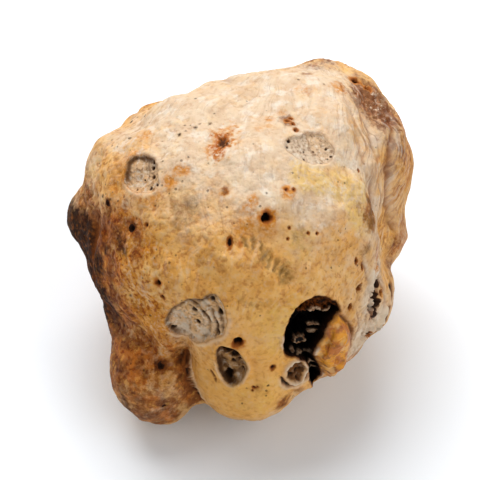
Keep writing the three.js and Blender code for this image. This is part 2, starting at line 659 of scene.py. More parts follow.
@dataclass(frozen=True)
class Ribs:
    """A row of short dark dashes that lie across a path, like the rings of a fingerprint."""

    path: list[Place]
    spacing: float
    length: float
    strength: float
    depth: float = 0.09

    def work(self, skin: Skin) -> None:
        """Marks and lightly sinks each dash.

        Args:
            skin: the skin.
        """
        strip = skin.strip(self.path, 2.0 * self.length)
        knots = skin.points[[skin.at(way) for way in smooth_path(self.path, 3)]]
        total = np.linalg.norm(np.diff(knots, axis=0), axis=1).sum()
        points, along = strip.points, strip.along
        place = along * total + 0.25 * strip.signed + 0.35 * fractal(points, 1.6, 17.0, 3.0)
        wave = 0.5 + 0.5 * np.cos(2 * math.pi * place / self.spacing)
        wave *= np.clip(1.05 + 0.9 * fractal(points, 1.3, 37.0), 0.2, 1.3)
        reach = self.length * (1.0 + 0.8 * fractal(points, 1.1, 27.0))
        dash = wave * ease(strip.distance, reach, 0.4 * reach)
        dash *= ease(along, 0.0, 0.1) * ease(along, 1.0, 0.9)
        strip.sink(self.depth * dash)
        strip.mark("dash", np.clip(self.strength * dash, 0.0, 1.0))


@dataclass(frozen=True)
class StarCrack:
    """Dark cracks that run out from one point."""

    at: Place
    radius: float
    depth: float = 0.28
    arms: int = 5
    stretch: float = 1.6
    fine_reach: float = 1.8  # how far round it the skin is split finer

    def work(self, skin: Skin) -> None:
        """Sinks and stains the cracks.

        Args:
            skin: the skin.
        """
        patch = skin.patch(self.at, 2.0 * self.radius * self.stretch)
        points = patch.points
        up = patch.up / self.stretch
        off = np.hypot(patch.right, up)
        angle = np.arctan2(up, patch.right) + 0.9 * fractal(points, 1.0, 44.0)
        gap = off * np.abs(np.sin(0.5 * self.arms * angle)) / (0.5 * self.arms)
        reach = self.radius * (0.8 + 0.5 * fractal(points, 1.4, 46.0))
        crack = ease(gap, 0.22, 0.04) * ease(off, reach, 0.3 * reach)
        patch.sink(self.depth * crack)
        patch.mark("stain_and_shade", 0.85 * crack)
        lobed = off / (1.0 + 0.35 * np.cos(self.arms * angle)) + 0.3 * fractal(points, 0.7, 47.0)
        broken = np.clip(0.8 + 0.7 * fractal(points, 0.7, 48.0), 0.2, 1.0)
        patch.mark("rust", broken * ease(lobed, 1.5 * self.radius, 0.5 * self.radius))
        patch.mark("amber", 0.75 * ease(lobed, 1.8 * self.radius, 0.9 * self.radius))


@dataclass(frozen=True)
class Tint:
    """A soft area of the skin with a mask of its own, such as brown or cream."""

    mask: str
    at: Place
    radius: float
    strength: float = 1.0
    stretch: float = 1.0
    turn: float = 0.0

    def work(self, skin: Skin) -> None:
        """Marks the area, with an uneven edge.

        Args:
            skin: the skin.
        """
        patch = skin.patch(self.at, 2.2 * self.radius * max(1.0, self.stretch), self.turn)
        off = patch.gap(0.0, 0.0, 1.0, self.stretch) / self.radius
        off += 0.25 * fractal(patch.points, 0.8 * self.radius + 0.3, 21.0 + self.radius, 3.0)
        patch.mark(self.mask, self.strength * ease(off, 1.35, 0.35))


@dataclass(frozen=True)
class Flap:
    """A lumpy flap of amber skin that bulges over the right of the gnawed hole."""

    outline: tuple[Place, ...] = (
        (2.5, 2.0), (3.3, 2.4), (4.6, 1.6), (5.7, 0.5), (6.5, -1.1), (6.9, -2.7), (7.1, -4.3),
        (7.1, -5.8), (6.4, -6.6), (5.5, -6.1), (4.3, -4.7), (3.3, -3.6), (2.4, -2.8), (1.75, -2.0),
        (1.95, -1.1), (2.35, -0.2), (2.15, 0.7), (2.15, 1.5),
    )
    lobes: tuple[Spot, ...] = ((3.5, 1.0, 1.5), (3.7, -1.9, 1.4), (5.6, -3.6, 1.6))
    bulge: float = 0.75
    lobe_height: float = 0.5
    crease_depth: float = 0.4

    def work(self, patch: Patch, mouth: Array) -> None:
        """Bulges the flap and draws a crease round its outer edge.

        Args:
            patch: the skin near the hole.
            mouth: each point's distance from the mouth's edge.
        """
        points = patch.points
        edge = patch.outside(self.outline, 5) + 0.1 * fractal(points, 0.9, 4.0)
        outside = ease(mouth, -0.25, 0.15)
        dome = self.bulge * ease(edge, 0.1, -1.1) * outside
        for right, up, radius in self.lobes:
            off = patch.gap(right, up) / radius
            dome += self.lobe_height * ease(edge, 0.0, -0.8) * outside * bell(off, 0.0, 1.0)
        patch.rise(dome * (1.0 + 0.35 * fractal(points, 1.3, 5.0, 3.0)))
        outer = ease(patch.right + 0.15 * patch.up, 2.6, 3.6) * ease(patch.up, -3.6, -0.6)
        outer *= np.clip(0.9 + 0.5 * fractal(points, 1.4, 49.0), 0.3, 1.1)
        crease = bell(edge, 0.14, 0.2) * outer
        patch.sink(self.crease_depth * crease)
        # painted shade in the outer crease and along the flap's edge by the mouth
        patch.mark("stain_and_shade", 0.7 * crease)
        patch.mark("stain_and_shade", 0.7 * ease(mouth, 0.45, 0.05) * ease(edge, 0.1, -0.2))
        patch.mark("flap", ease(edge, 0.12, -0.12))


@dataclass(frozen=True)
class Knob:
    """A ring of torn skin round a porous brown cup, at the foot of the gnawed hole."""

    at: Place = (0.68, -4.75)
    across: float = 1.5
    along: float = 1.95
    turn: float = 23.0
    ring_height: float = 0.36
    cup_depth: float = 0.25
    pore_depth: float = 0.35
    pores: tuple[Spot, ...] = (
        (0.15, -4.05, 0.34), (0.95, -4.9, 0.3), (0.45, -5.5, 0.26), (1.45, -4.7, 0.22),
        (1.35, -5.9, 0.24),
    )

    def work(self, patch: Patch) -> None:
        """Raises the ring, sinks the cup and draws a groove and a lip below them.

        Args:
            patch: the skin near the hole.
        """
        points = patch.points
        right, up = patch.right - self.at[0], patch.up - self.at[1]
        turn = math.radians(self.turn)
        across = (right * math.cos(turn) + up * math.sin(turn)) / self.across
        along = (up * math.cos(turn) - right * math.sin(turn)) / self.along
        off = np.hypot(across, along) + 0.15 * fractal(points, 0.9, 6.0, 3.0)
        ring = bell(off, 0.84, 0.15)
        ring *= np.clip(0.9 + 0.7 * fractal(points, 0.9, 9.0), 0.3, 1.3)
        cup = ease(off, 0.8, 0.58)
        pocked = 0.4 * ease(fractal(points, 0.5, 8.0), 0.0, 0.4)
        for pore_right, pore_up, radius in self.pores:
            gap = patch.gap(pore_right, pore_up) + 0.2 * fractal(points, 0.6, 10.0)
            pocked = np.maximum(pocked, ease(gap, 1.3 * radius, 0.6 * radius))
        patch.rise(self.ring_height * ring - (self.cup_depth + self.pore_depth * pocked) * cup)
        patch.edge_mark("scar", (off - 0.74) * self.across)
        patch.mark("raw_flesh_and_shade", ease(off, 0.95, 0.7))
        patch.mark("shade", cup * pocked)
        patch.mark("rim", 0.95 * np.clip(ring, 0.0, 1.0) * ease(off, 0.7, 0.82))
        lower = ease((up - 0.35 * right) / np.maximum(np.hypot(right, up), 0.01), -0.2, -0.7)
        below = bell(off, 1.15, 0.13) * lower
        lip = bell(off, 1.4, 0.13) * lower
        patch.rise(0.15 * lip - 0.5 * below)
        # painted shade in the groove under the cup
        patch.mark("stain_and_shade", 1.2 * below)
        patch.mark("rim", 0.5 * lip)


@dataclass(frozen=True)
class GnawedHole:
    """The large gnawed hole, with crumbs inside, a flap of skin over its right and a knob at its foot."""

    at: Place = (26.0, 2.0)
    mouth: tuple[Place, ...] = (
        (-2.7, 4.2), (-1.6, 4.85), (-0.3, 5.0), (1.2, 4.7), (2.6, 3.9), (3.5, 2.85), (2.75, 2.15),
        (2.1, 1.6), (2.1, 0.7), (2.3, -0.2), (1.9, -1.1), (1.7, -2.0), (2.4, -2.9), (3.3, -3.7),
        (4.3, -4.8), (5.4, -6.3), (5.3, -7.6), (4.4, -7.3), (3.2, -6.1), (2.4, -4.7), (1.4, -3.5),
        (-0.1, -2.95), (-1.5, -2.8), (-2.3, -1.9), (-2.9, -0.5), (-3.3, 0.8), (-3.45, 2.0), (-3.3, 3.2),
    )
    crumbs: tuple[Lump, ...] = (  # half width, half height, how far it fills the hole, how pale it is
        (-0.6, 3.3, 0.85, 0.36, 0.66, 0.95), (1.5, 3.05, 0.75, 0.36, 0.66, 0.9),
        (0.5, 1.0, 0.85, 0.3, 0.62, 0.8), (0.95, 0.15, 0.75, 0.34, 0.62, 0.75),
        (-0.22, -0.97, 0.8, 0.72, 0.66, 0.96), (-0.7, -2.2, 0.4, 0.4, 0.66, 0.7),
        (0.3, -2.5, 0.5, 0.3, 0.66, 0.75), (1.3, -2.3, 0.4, 0.45, 0.6, 0.7),
        (2.5, -3.9, 0.7, 0.22, 0.75, 0.8), (3.5, -4.9, 0.5, 0.2, 0.7, 0.75),
    )
    ceiling: tuple[Lump, ...] = (  # half width, half height, how far it fills the hole
        (0.3, 3.9, 2.3, 0.75, 0.6), (-1.97, 3.1, 0.5, 0.4, 0.6), (-2.6, 1.2, 0.4, 0.9, 0.45),
    )
    pale_edges: tuple[Spot, ...] = (
        (1.8, -1.9, 1.0), (2.4, -4.1, 0.8), (5.2, -6.2, 0.9), (-2.9, -1.0, 1.2),
    )
    hollow_crumb: float = 0.6  # a crumb taller than this has a dark middle
    lip_height: float = 0.1
    torn_height: float = 0.15
    depth: float = 4.4
    reach: float = 11.5
    fine_spots: tuple[tuple[Place, float], ...] = (  # where and how far round the skin is split finer
        ((26.0, 2.0), 5.4),
        ((36.0, -14.0), 4.0),
        ((20.0, -15.0), 2.6),
    )
    flap: Flap = Flap()
    knob: Knob = Knob()

    def work(self, skin: Skin) -> None:
        """Cuts the hole, rounds the flap over it and sets the knob at its foot.

        Args:
            skin: the skin.
        """
        patch = skin.patch(self.at, self.reach)
        mouth = patch.outside(self.mouth, 5) + 0.14 * fractal(patch.points, 0.9, 2.0, 3.0)
        self.tear_edges(patch, mouth)
        self.cut(patch, mouth)
        self.flap.work(patch, mouth)
        self.knob.work(patch)

    def tear_edges(self, patch: Patch, mouth: Array) -> None:
        """Raises the torn pale stretches of the mouth's edge.

        Args:
            patch: the skin near the hole.
            mouth: each point's distance from the mouth's edge.
        """
        for right, up, radius in self.pale_edges:
            off = patch.gap(right, up) + 0.3 * fractal(patch.points, 0.9, 48.0)
            torn = bell(mouth, 0.1, 0.16) * ease(off, radius, 0.5 * radius)
            patch.rise(self.torn_height * torn)
            patch.mark("rim", 0.85 * torn)

    def cut(self, patch: Patch, mouth: Array) -> None:
        """Cuts the hole, but leaves its ceiling and its crumbs of pale flesh.

        Args:
            patch: the skin near the hole.
            mouth: each point's distance from the mouth's edge.
        """
        points = patch.points
        sunk = self.depth * ease(mouth, 0.08, -0.85) * (0.85 + 0.3 * np.abs(fractal(points, 1.5, 40.0)))
        for right, up, wide, high, rise in self.ceiling:
            off = patch.gap(right, up, wide, high) + 0.5 * fractal(points, 0.6, 41.0 + right)
            sunk *= 1.0 - rise * ease(off, 1.6, 0.7)
            patch.mark("raw_flesh_and_shade", 0.9 * ease(off, 1.5, 0.6) * ease(mouth, 0.0, -0.3))
        crumbs = np.zeros(len(points))
        for right, up, wide, high, rise, pale in self.crumbs:
            off = patch.gap(right, up, wide, high) + 0.5 * fractal(points, 0.5, 41.0 + right)
            sunk *= 1.0 - rise * ease(off, 1.6, 0.7)
            crumbs = np.maximum(crumbs, pale * ease(off, 1.45, 0.6) * ease(mouth, 0.0, -0.2))
            if high > self.hollow_crumb:
                crumbs *= 1.0 - 0.8 * ease(off, 0.6, 0.3)
        patch.push_in(sunk)
        patch.edge_mark("hole", mouth)
        patch.mark("fragment", crumbs)
        patch.rise(self.lip_height * bell(mouth, 0.25, 0.2))


@dataclass(frozen=True)
class Burrow:
    """A deep oval hole with bare marbled flesh inside, darkest low on its left."""

    at: Place = (-3.0, -7.0)
    reach: float = 6.5
    fine_reach: float = 3.5  # how far round it the skin is split finer
    outline: tuple[Place, ...] = (
        (-0.15, 3.7), (0.65, 3.45), (1.3, 2.65), (1.6, 1.3), (1.75, 0.0), (1.45, -1.0), (0.75, -2.1),
        (0.15, -2.6), (-0.65, -2.8), (-1.25, -2.35), (-1.6, -1.3), (-1.65, 0.0), (-1.3, 1.9),
        (-0.85, 3.1),
    )
    depth: float = 1.2
    lip_height: float = 0.14
    dark_spots: tuple[Spot, ...] = (
        (-0.95, -2.05, 0.8), (-0.6, -1.4, 0.5), (-0.3, 2.85, 0.5), (0.35, 2.4, 0.55), (0.7, 1.75, 0.65),
        (1.15, 1.0, 0.45), (0.3, 0.6, 0.3), (1.0, -0.9, 0.25),
    )
    pale_spots: tuple[Spot, ...] = (
        (-0.58, -0.1, 0.65), (-0.95, 1.8, 0.6), (0.0, -2.3, 0.55), (0.65, -1.4, 0.55), (0.15, 0.1, 0.45),
        (1.2, 0.2, 0.35),
    )

    def work(self, skin: Skin) -> None:
        """Cuts the hole and marks its flesh and its darkest parts.

        Args:
            skin: the skin.
        """
        patch = skin.patch(self.at, self.reach)
        points = patch.points
        distance = patch.outside(self.outline) + 0.08 * fractal(points, 0.8, 13.0)
        floor = ease(distance, 0.06, -0.5)
        sunk = self.depth * floor * (0.9 + 0.5 * fractal(points, 1.1, 14.0))
        for right, up, radius in self.dark_spots:
            off = patch.gap(right, up) + 0.25 * fractal(points, 0.7, 16.0)
            spot = floor * ease(off, 1.05 * radius, 0.5 * radius)
            sunk += 0.9 * radius * spot
            patch.mark("shade", spot)
        patch.rise(self.lip_height * bell(distance, 0.28, 0.22))
        patch.push_in(sunk)
        band = ease(distance, 0.08, -0.12) * ease(distance, -0.65, -0.2) * ease(patch.right, 0.4, -0.5)
        patch.mark("shade", 0.65 * band)
        mottle = ease(fractal(points, 0.7, 18.0), 0.0, 0.4)
        patch.mark("shade", 0.45 * floor * mottle)
        for right, up, radius in self.pale_spots:
            off = patch.gap(right, up) + 0.25 * fractal(points, 0.6, 28.0)
            spot = floor * ease(off, 1.2 * radius, 0.5 * radius)
            patch.fade("shade", 0.9 * spot)
            patch.mark("fresh", spot)
        edge = bell(distance, 0.16, 0.13)
        # painted highlight: the pale lower edge of the hole
        patch.mark("rim", 0.5 * edge * ease(patch.up, 1.5, -0.5))
        patch.mark("raw_flesh_and_shade", 0.5 * ease(distance, 0.3, 0.0))
        patch.edge_mark("scar", distance)


# ---- The truffle ----


@dataclass
class TruffleSkin:
    """The whole skin of the truffle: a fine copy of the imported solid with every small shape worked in."""

    scars: list[Scar]
    pits: list[Pit]
    creases: list[Crease]
    overlaps: list[Overlap]
    ribs: list[Ribs]
    tints: list[Tint]
    name: str = "truffle_skin"
    smoothing: int = 2
    fine_scars: float = 95.0  # only scars up to this far round, in degrees, are split finer
    fine_pits: float = 135.0  # and only pits up to this far
    lump_height: float = 0.34
    lump_size: float = 5.5
    bead_height: float = 0.13
    bead_size: float = 2.4
    dimple_height: float = 0.09
    dimple_size: float = 1.1
    crumple_depth: float = 0.55
    crumple_size: float = 1.25
    wrinkle_depth: float = 0.07
    wrinkle_sets: tuple[tuple[float, ...], ...] = (  # strength, spacing, length and groove width
        (1.0, 1.5, 7.0, 0.14),
        (0.4, 0.95, 4.5, 0.18),
    )
    grain_axis: Place = (162.0, 32.0)  # the wrinkles run to and from here, as lines of longitude do
    table_gap: float = 0.02  # what is lower than this is the flat spot
    box_margin: float = 0.25  # no point goes farther than this past the solid's box
    mask_names: tuple[str, ...] = (
        "smooth", "rough", "crumple", "cream", "ochre", "amber", "yellow", "olive", "red", "brown",
        "umber_and_shade", "rust", "speck", "streak", "dash", "shade", "fresh", "raw_flesh_and_shade", "rim",
    )
    plain_hollows: tuple[PlainHollow, ...] = (
        PlainHollow((26, 4), 11.5, 4.0, 5.6),
        PlainHollow((-3, -7), 6.5, 2.5, 3.9),
    )
    hole: GnawedHole = GnawedHole()
    burrow: Burrow = Burrow()
    star: StarCrack = StarCrack((-77, 82.8), 1.2)

    def build(self) -> bpy.types.Object:
        """Makes the skin's mesh.

        Returns:
            The piece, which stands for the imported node.
        """
        piece = self.fine_copy()
        self.refine(piece)
        skin = Skin(piece.data)
        for hollow in self.plain_hollows:
            hollow.close(skin)
        self.write(piece, skin)
        skin = Skin(piece.data)
        self.shape(skin)
        self.write(piece, skin)
        for name, values in skin.masks.items():
            mask = piece.data.attributes.new(name, "FLOAT", "POINT")
            mask.data.foreach_set("value", values.astype(np.float32))
        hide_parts(NODE)
        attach(piece, "root")
        return piece

    def dress(self, piece: bpy.types.Object, finish: TruffleFinish) -> None:
        """Puts the finish on the skin."""
        piece.data.materials.append(finish.make())

    def fine_copy(self) -> bpy.types.Object:
        """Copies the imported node's mesh, welds it and subdivides it smoothly.

        Returns:
            The fine skin's object.
        """
        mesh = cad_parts[NODE].data.copy()
        mesh.materials.clear()
        work = bmesh.new()
        work.from_mesh(mesh)
        bmesh.ops.remove_doubles(work, verts=work.verts, dist=1e-6)
        work.to_mesh(mesh)
        work.free()
        rough = add_object("rough_skin", mesh)
        rough.modifiers.new("smooth", "SUBSURF").levels = self.smoothing
        graph = bpy.context.evaluated_depsgraph_get()
        fine = bpy.data.meshes.new_from_object(rough.evaluated_get(graph))
        bpy.data.objects.remove(rough)
        return add_object(self.name, fine)

    def refine(self, piece: bpy.types.Object) -> None:
        """Splits the faces near the sharpest small shapes once more.

        Args:
            piece: the fine skin.
        """
        spots = [*self.hole.fine_spots]
        spots += [(shape.at, shape.fine_reach) for shape in (self.burrow, self.star)]
        shown = [scar for scar in self.scars if abs(scar.at[0]) < self.fine_scars]
        spots += [(scar.at, 0.9 * scar.reach()) for scar in shown]
        shown = [pit for pit in self.pits if abs(pit.at[0]) < self.fine_pits]
        spots += [(pit.at, pit.radius * max(1.0, pit.stretch) + 0.4) for pit in shown]
        spots += [(place, self.ribs[0].length) for place in self.ribs[0].path]
        skin = Skin(piece.data)
        chosen = np.zeros(len(skin.points), dtype=bool)
        for place, radius in spots:
            centre = skin.points[skin.at(direction(place))]
            chosen |= np.linalg.norm(skin.points - centre, axis=1) < radius
        work = bmesh.new()
        work.from_mesh(piece.data)
        edges = [e for e in work.edges if chosen[e.verts[0].index] and chosen[e.verts[1].index]]
        bmesh.ops.subdivide_edges(work, edges=edges, cuts=1, use_grid_fill=True)
        work.to_mesh(piece.data)
        work.free()

    def shape(self, skin: Skin) -> None:
        """Works every small shape into the skin.

        Args:
            skin: the skin.
        """
        points = skin.points
        for name in self.mask_names:
            skin.masks[name] = np.zeros(len(points))
        for tint in self.tints:
            tint.work(skin)
        skin.lift += self.lump_height * fractal(points, self.lump_size, 1.0, 3.0)
        beads = fractal(points, self.bead_size, 63.0)
        skin.lift += self.bead_height * beads * (1.0 - 0.6 * skin.masks["smooth"])
        dimples = fractal(points, self.dimple_size, 7.0)
        skin.lift -= self.dimple_height * ease(dimples, -0.1, 0.75) * (1.0 + 1.6 * skin.masks["rough"])
        calm = 1.0 - 0.92 * skin.masks["smooth"]
        for strength, *sizes in self.wrinkle_sets:
            skin.lift -= strength * self.wrinkle_depth * self.wrinkles(skin, *sizes) * calm
        crumple = np.abs(fractal(points, self.crumple_size, 31.0, 3.0))
        skin.lift -= self.crumple_depth * skin.masks["crumple"] * ease(crumple, 0.22, 0.0)
        lines = (*self.overlaps, *self.creases, *self.ribs)
        for shape in (*lines, self.star, *self.scars, *self.pits, self.hole, self.burrow):
            shape.work(skin)
        on_table = points[:, 2] < self.table_gap
        skin.settle()
        skin.points[on_table, 2] = 0.0
        low, high = np.array(CAD_BOX) / MM
        skin.points = np.clip(skin.points, low - self.box_margin, high + self.box_margin)
        skin.points[:, 2] = np.maximum(skin.points[:, 2], 0.0)

    def wrinkles(self, skin: Skin, spacing: float, length: float, width: float) -> Array:
        """Long wrinkles that run from the chin over the body to the crest.

        Args:
            skin: the skin.
            spacing: distance between wrinkles.
            length: how far one runs before it fades into the next.
            width: share of the spacing that a wrinkle's groove takes.

        Returns:
            How deep in a wrinkle each point is, from 0 to 1.
        """
        axis = direction(self.grain_axis)
        offset = skin.points - np.array(BODY_MIDDLE) / MM
        for axis_number in range(3):
            offset[:, axis_number] += 1.1 * fractal(skin.points, 4.5, 51.0 + 9 * axis_number)
        height = offset @ axis
        round_it = unit(offset - height[:, None] * axis)
        flow = round_it * BODY_RADIUS / spacing + axis * (height / length)[:, None]
        waves = np.array([blender_noise.noise(Vector(p)) for p in flow])
        fade = ease(fractal(skin.points, 3.5, 77.0), -0.35, 0.25)
        return bell(waves, 0.0, width) * fade

    def write(self, piece: bpy.types.Object, skin: Skin) -> None:
        """Puts the worked points back into the mesh.

        Args:
            piece: the skin's object.
            skin: the skin.
        """
        mesh = piece.data
        mesh.vertices.foreach_set("co", (skin.points * MM).ravel())
        mesh.polygons.foreach_set("use_smooth", np.ones(len(mesh.polygons), dtype=bool))
        mesh.update()


# ---- Shader building ----


def colour(red: int, green: int, blue: int) -> Rgba:
    """Turns an 8-bit display colour into the linear one that a shader takes.

    Args:
        red: 0 to 255.
        green: 0 to 255.
        blue: 0 to 255.

    Returns:
        Linear red, green, blue and an alpha of 1.
    """
    linear = [((c / 255 + 0.055) / 1.055) ** 2.4 if c > 10 else c / 255 / 12.92 for c in (red, green, blue)]
    return (*linear, 1.0)


class Graph:
    """Adds nodes to one tree with short calls, most of which return the new node's output socket."""

    def __init__(self, tree: bpy.types.NodeTree) -> None:
        """Keeps the tree of a material, a world or a group."""
        self.tree = tree

    def node(self, kind: str, inputs: dict | None = None, **settings: object) -> bpy.types.Node:
        """Adds a node.

        Args:
            kind: the node's type name.
            inputs: input name or number to a socket to link or a value to set.
            **settings: properties of the node.

        Returns:
            The node.
        """
        made = self.tree.nodes.new(kind)
        for name, value in settings.items():
            setattr(made, name, value)
        for name, value in (inputs or {}).items():
            self.feed(made.inputs[name], value)
        return made

    def feed(self, socket: Socket, value: Value) -> None:
        """Links a socket to an output, or sets its value.

        Args:
            socket: the input.
            value: an output to link, or a plain value.
        """
        if isinstance(value, bpy.types.NodeSocket):
            self.tree.links.new(value, socket)
        else:
            socket.default_value = value

    def math(self, operation: str, a: Value, b: Value = 0.0, c: Value = 0.0, clamp: bool = False) -> Socket:
        """Works out a number from up to three others. Clamp keeps it from 0 to 1."""
        made = self.node("ShaderNodeMath", {0: a, 1: b, 2: c}, operation=operation, use_clamp=clamp)
        return made.outputs[0]

    def times(self, *factors: Value) -> Socket:
        """Multiplies numbers together.

        Args:
            *factors: two or more numbers.

        Returns:
            The product's socket.
        """
        product = factors[0]
        for factor in factors[1:]:
            product = self.math("MULTIPLY", product, factor)
        return product

    def vector(self, operation: str, a: Value, b: Value = (0, 0, 0), scale: Value = 1.0) -> Socket:
        """Works out a vector, or a vector's length, from up to two others."""
        made = self.node("ShaderNodeVectorMath", {0: a, 1: b, 3: scale}, operation=operation)
        return made.outputs["Value" if operation in ("DOT_PRODUCT", "LENGTH", "DISTANCE") else "Vector"]

    def mix(self, share: Value, a: Value, b: Value, blend: str = "MIX") -> Socket:
        """Lays one colour over another.

        Args:
            share: how much of the second shows.
            a: the colour below.
            b: the colour above.
            blend: how the two are blended.

        Returns:
            The colour's socket.
        """
        made = self.node("ShaderNodeMix", data_type="RGBA", blend_type=blend)
        for socket, value in zip((made.inputs[0], made.inputs[6], made.inputs[7]), (share, a, b)):
            self.feed(socket, value)
        return made.outputs[2]

    def ramp(self, value: Value, start: float, end: float, low: float = 0.0, high: float = 1.0) -> Socket:
        """Maps a number smoothly from start..end to low..high."""
        inputs = {"Value": value, "From Min": start, "From Max": end, "To Min": low, "To Max": high}
        return self.node("ShaderNodeMapRange", inputs, interpolation_type="SMOOTHSTEP").outputs[0]

    def noise(self, place: Value, scale: Value, detail: float = 3.0, rough: float = 0.55) -> Socket:
        """Reads soft noise from 0 to 1 at a place, with so many lumps in one unit."""
        inputs = {"Vector": place, "Scale": scale, "Detail": detail, "Roughness": rough}
        return self.node("ShaderNodeTexNoise", inputs).outputs[0]

    def shrink(self, place: Value, size: Value) -> Socket:
        """Divides coordinates by a size."""
        return self.vector("SCALE", place, scale=self.math("DIVIDE", 1.0, size))

    def stray(self, place: Value, scale: float, detail: float, reach: Value) -> Socket:
        """Moves coordinates about by soft noise.

        Args:
            place: the coordinates.
            scale: the noise's lumps in one unit.
            detail: how many finer layers it has.
            reach: how far it moves them.

        Returns:
            The moved coordinates' socket.
        """
        push = self.node("ShaderNodeTexNoise", {"Vector": place, "Scale": scale, "Detail": detail})
        push = self.vector("SUBTRACT", push.outputs["Color"], (0.5, 0.5, 0.5))
        return self.vector("ADD", place, self.vector("SCALE", push, scale=reach))


def empty_tree(owner: bpy.types.Material | bpy.types.World) -> bpy.types.NodeTree:
    """Turns on the nodes of a material or a world and clears them.

    Args:
        owner: the material or the world.

    Returns:
        The empty tree.
    """
    owner.use_nodes = True
    owner.node_tree.nodes.clear()
    return owner.node_tree


class Effect(Enum):
    """The node groups that the finishes share."""

    MOTTLE = "mottle"
    WRINKLES = "wrinkles"
    PORES = "pores"
    FLESH = "marbled_flesh"
    GRAIN = "grain"


def new_group(
    effect: Effect, settings: dict[str, float], outputs: list[str]
) -> tuple[Graph, dict[str, Socket], bpy.types.Node]:
    """Starts a shader node group that reads a place and some settings.

    Args:
        effect: which effect the group makes.
        settings: name of each setting to its first value.
        outputs: names of the outputs, all single values.

    Returns:
        The graph to fill, its inputs by name, and its output node.
    """
    tree = bpy.data.node_groups.new(effect.value, "ShaderNodeTree")
    tree.interface.new_socket("Place", in_out="INPUT", socket_type="NodeSocketVector")
    for label, value in settings.items():
        socket = tree.interface.new_socket(label, in_out="INPUT", socket_type="NodeSocketFloat")
        socket.default_value = value
    for label in outputs:
        tree.interface.new_socket(label, in_out="OUTPUT", socket_type="NodeSocketFloat")
    graph = Graph(tree)
    entry = graph.node("NodeGroupInput")
    inputs = {label: entry.outputs[label] for label in ("Place", *settings)}
    return graph, inputs, graph.node("NodeGroupOutput")


def make_mottle() -> None:
    """Soft cloudy blotches: a mask with an uneven edge."""
    settings = {"Size": 4.0, "Warp": 0.6, "Share": 0.5}
    graph, inputs, out = new_group(Effect.MOTTLE, settings, ["Mask"])
    place = graph.stray(graph.shrink(inputs["Place"], inputs["Size"]), 1.7, 2.0, inputs["Warp"])
    value = graph.noise(place, 1.0, 5.0, 0.6)
    start = graph.math("SUBTRACT", 1.0, inputs["Share"])
    value = graph.math("SUBTRACT", value, graph.math("MULTIPLY_ADD", start, 0.5, 0.25))
    graph.feed(out.inputs["Mask"], graph.ramp(value, -0.09, 0.09))


def make_wrinkles() -> None:
    """Fine fibrous wrinkles that run from the chin over the body to the crest."""
    settings = {"Spacing": 0.5, "Length": 4.0, "Wander": 0.8}
    graph, inputs, out = new_group(Effect.WRINKLES, settings, ["Height", "Groove"])
    axis = tuple(direction(TruffleSkin.grain_axis))
    place = graph.stray(inputs["Place"], 0.16, 1.0, inputs["Wander"])
    height = graph.vector("DOT_PRODUCT", place, axis)
    around = graph.vector("SUBTRACT", place, graph.vector("SCALE", axis, scale=height))
    turns = graph.math("DIVIDE", BODY_RADIUS, inputs["Spacing"])
    around = graph.vector("SCALE", graph.vector("NORMALIZE", around), scale=turns)
    along = graph.vector("SCALE", axis, scale=graph.math("DIVIDE", height, inputs["Length"]))
    value = graph.noise(graph.vector("ADD", around, along), 1.0, 2.0, 0.5)
    groove = graph.math("ABSOLUTE", graph.math("SUBTRACT", value, 0.5))
    graph.feed(out.inputs["Height"], value)
    graph.feed(out.inputs["Groove"], graph.ramp(groove, 0.055, 0.0))


def make_pores() -> None:
    """Scattered dark specks and pinholes."""
    settings = {"Spacing": 0.9, "Radius": 0.2, "Share": 0.5}
    graph, inputs, out = new_group(Effect.PORES, settings, ["Mask"])
    place = graph.shrink(inputs["Place"], inputs["Spacing"])
    cells = graph.node("ShaderNodeTexVoronoi", {"Vector": place, "Scale": 1.0, "Randomness": 1.0})
    lot = graph.node("ShaderNodeSeparateColor", {0: cells.outputs["Color"]})
    chosen = graph.math("LESS_THAN", lot.outputs[0], inputs["Share"])
    radius = graph.math("MULTIPLY", inputs["Radius"], graph.math("MULTIPLY_ADD", lot.outputs[1], 0.9, 0.35))
    ragged = graph.math("MULTIPLY_ADD", graph.noise(place, 5.0, 2.0), 0.25, -0.125)
    gap = graph.math("SUBTRACT", graph.math("ADD", cells.outputs["Distance"], ragged), radius)
    spot = graph.ramp(gap, 0.07, -0.07)
    graph.feed(out.inputs["Mask"], graph.math("MULTIPLY", spot, chosen))


def make_flesh() -> None:
    """Bare flesh: dark grains between soft pale flecks."""
    graph, inputs, out = new_group(Effect.FLESH, {"Grain": 0.35}, ["Vein", "Pore"])
    place = graph.shrink(inputs["Place"], inputs["Grain"])
    moved = graph.vector("ADD", place, (17.0, -5.0, 8.0))
    graph.feed(out.inputs["Vein"], graph.ramp(graph.noise(moved, 0.8, 3.0, 0.6), 0.5, 0.66))
    graph.feed(out.inputs["Pore"], graph.ramp(graph.noise(place, 1.0, 3.0, 0.6), 0.48, 0.64))


def make_grain() -> None:
    """Small dark and light grains."""
    graph, inputs, out = new_group(Effect.GRAIN, {"Size": 0.5}, ["Dark", "Light", "Height"])
    place = graph.shrink(inputs["Place"], inputs["Size"])
    value = graph.noise(place, 1.0, 2.0, 0.5)
    graph.feed(out.inputs["Dark"], graph.ramp(value, 0.47, 0.34))
    graph.feed(out.inputs["Light"], graph.ramp(value, 0.54, 0.68))
    graph.feed(out.inputs["Height"], value)


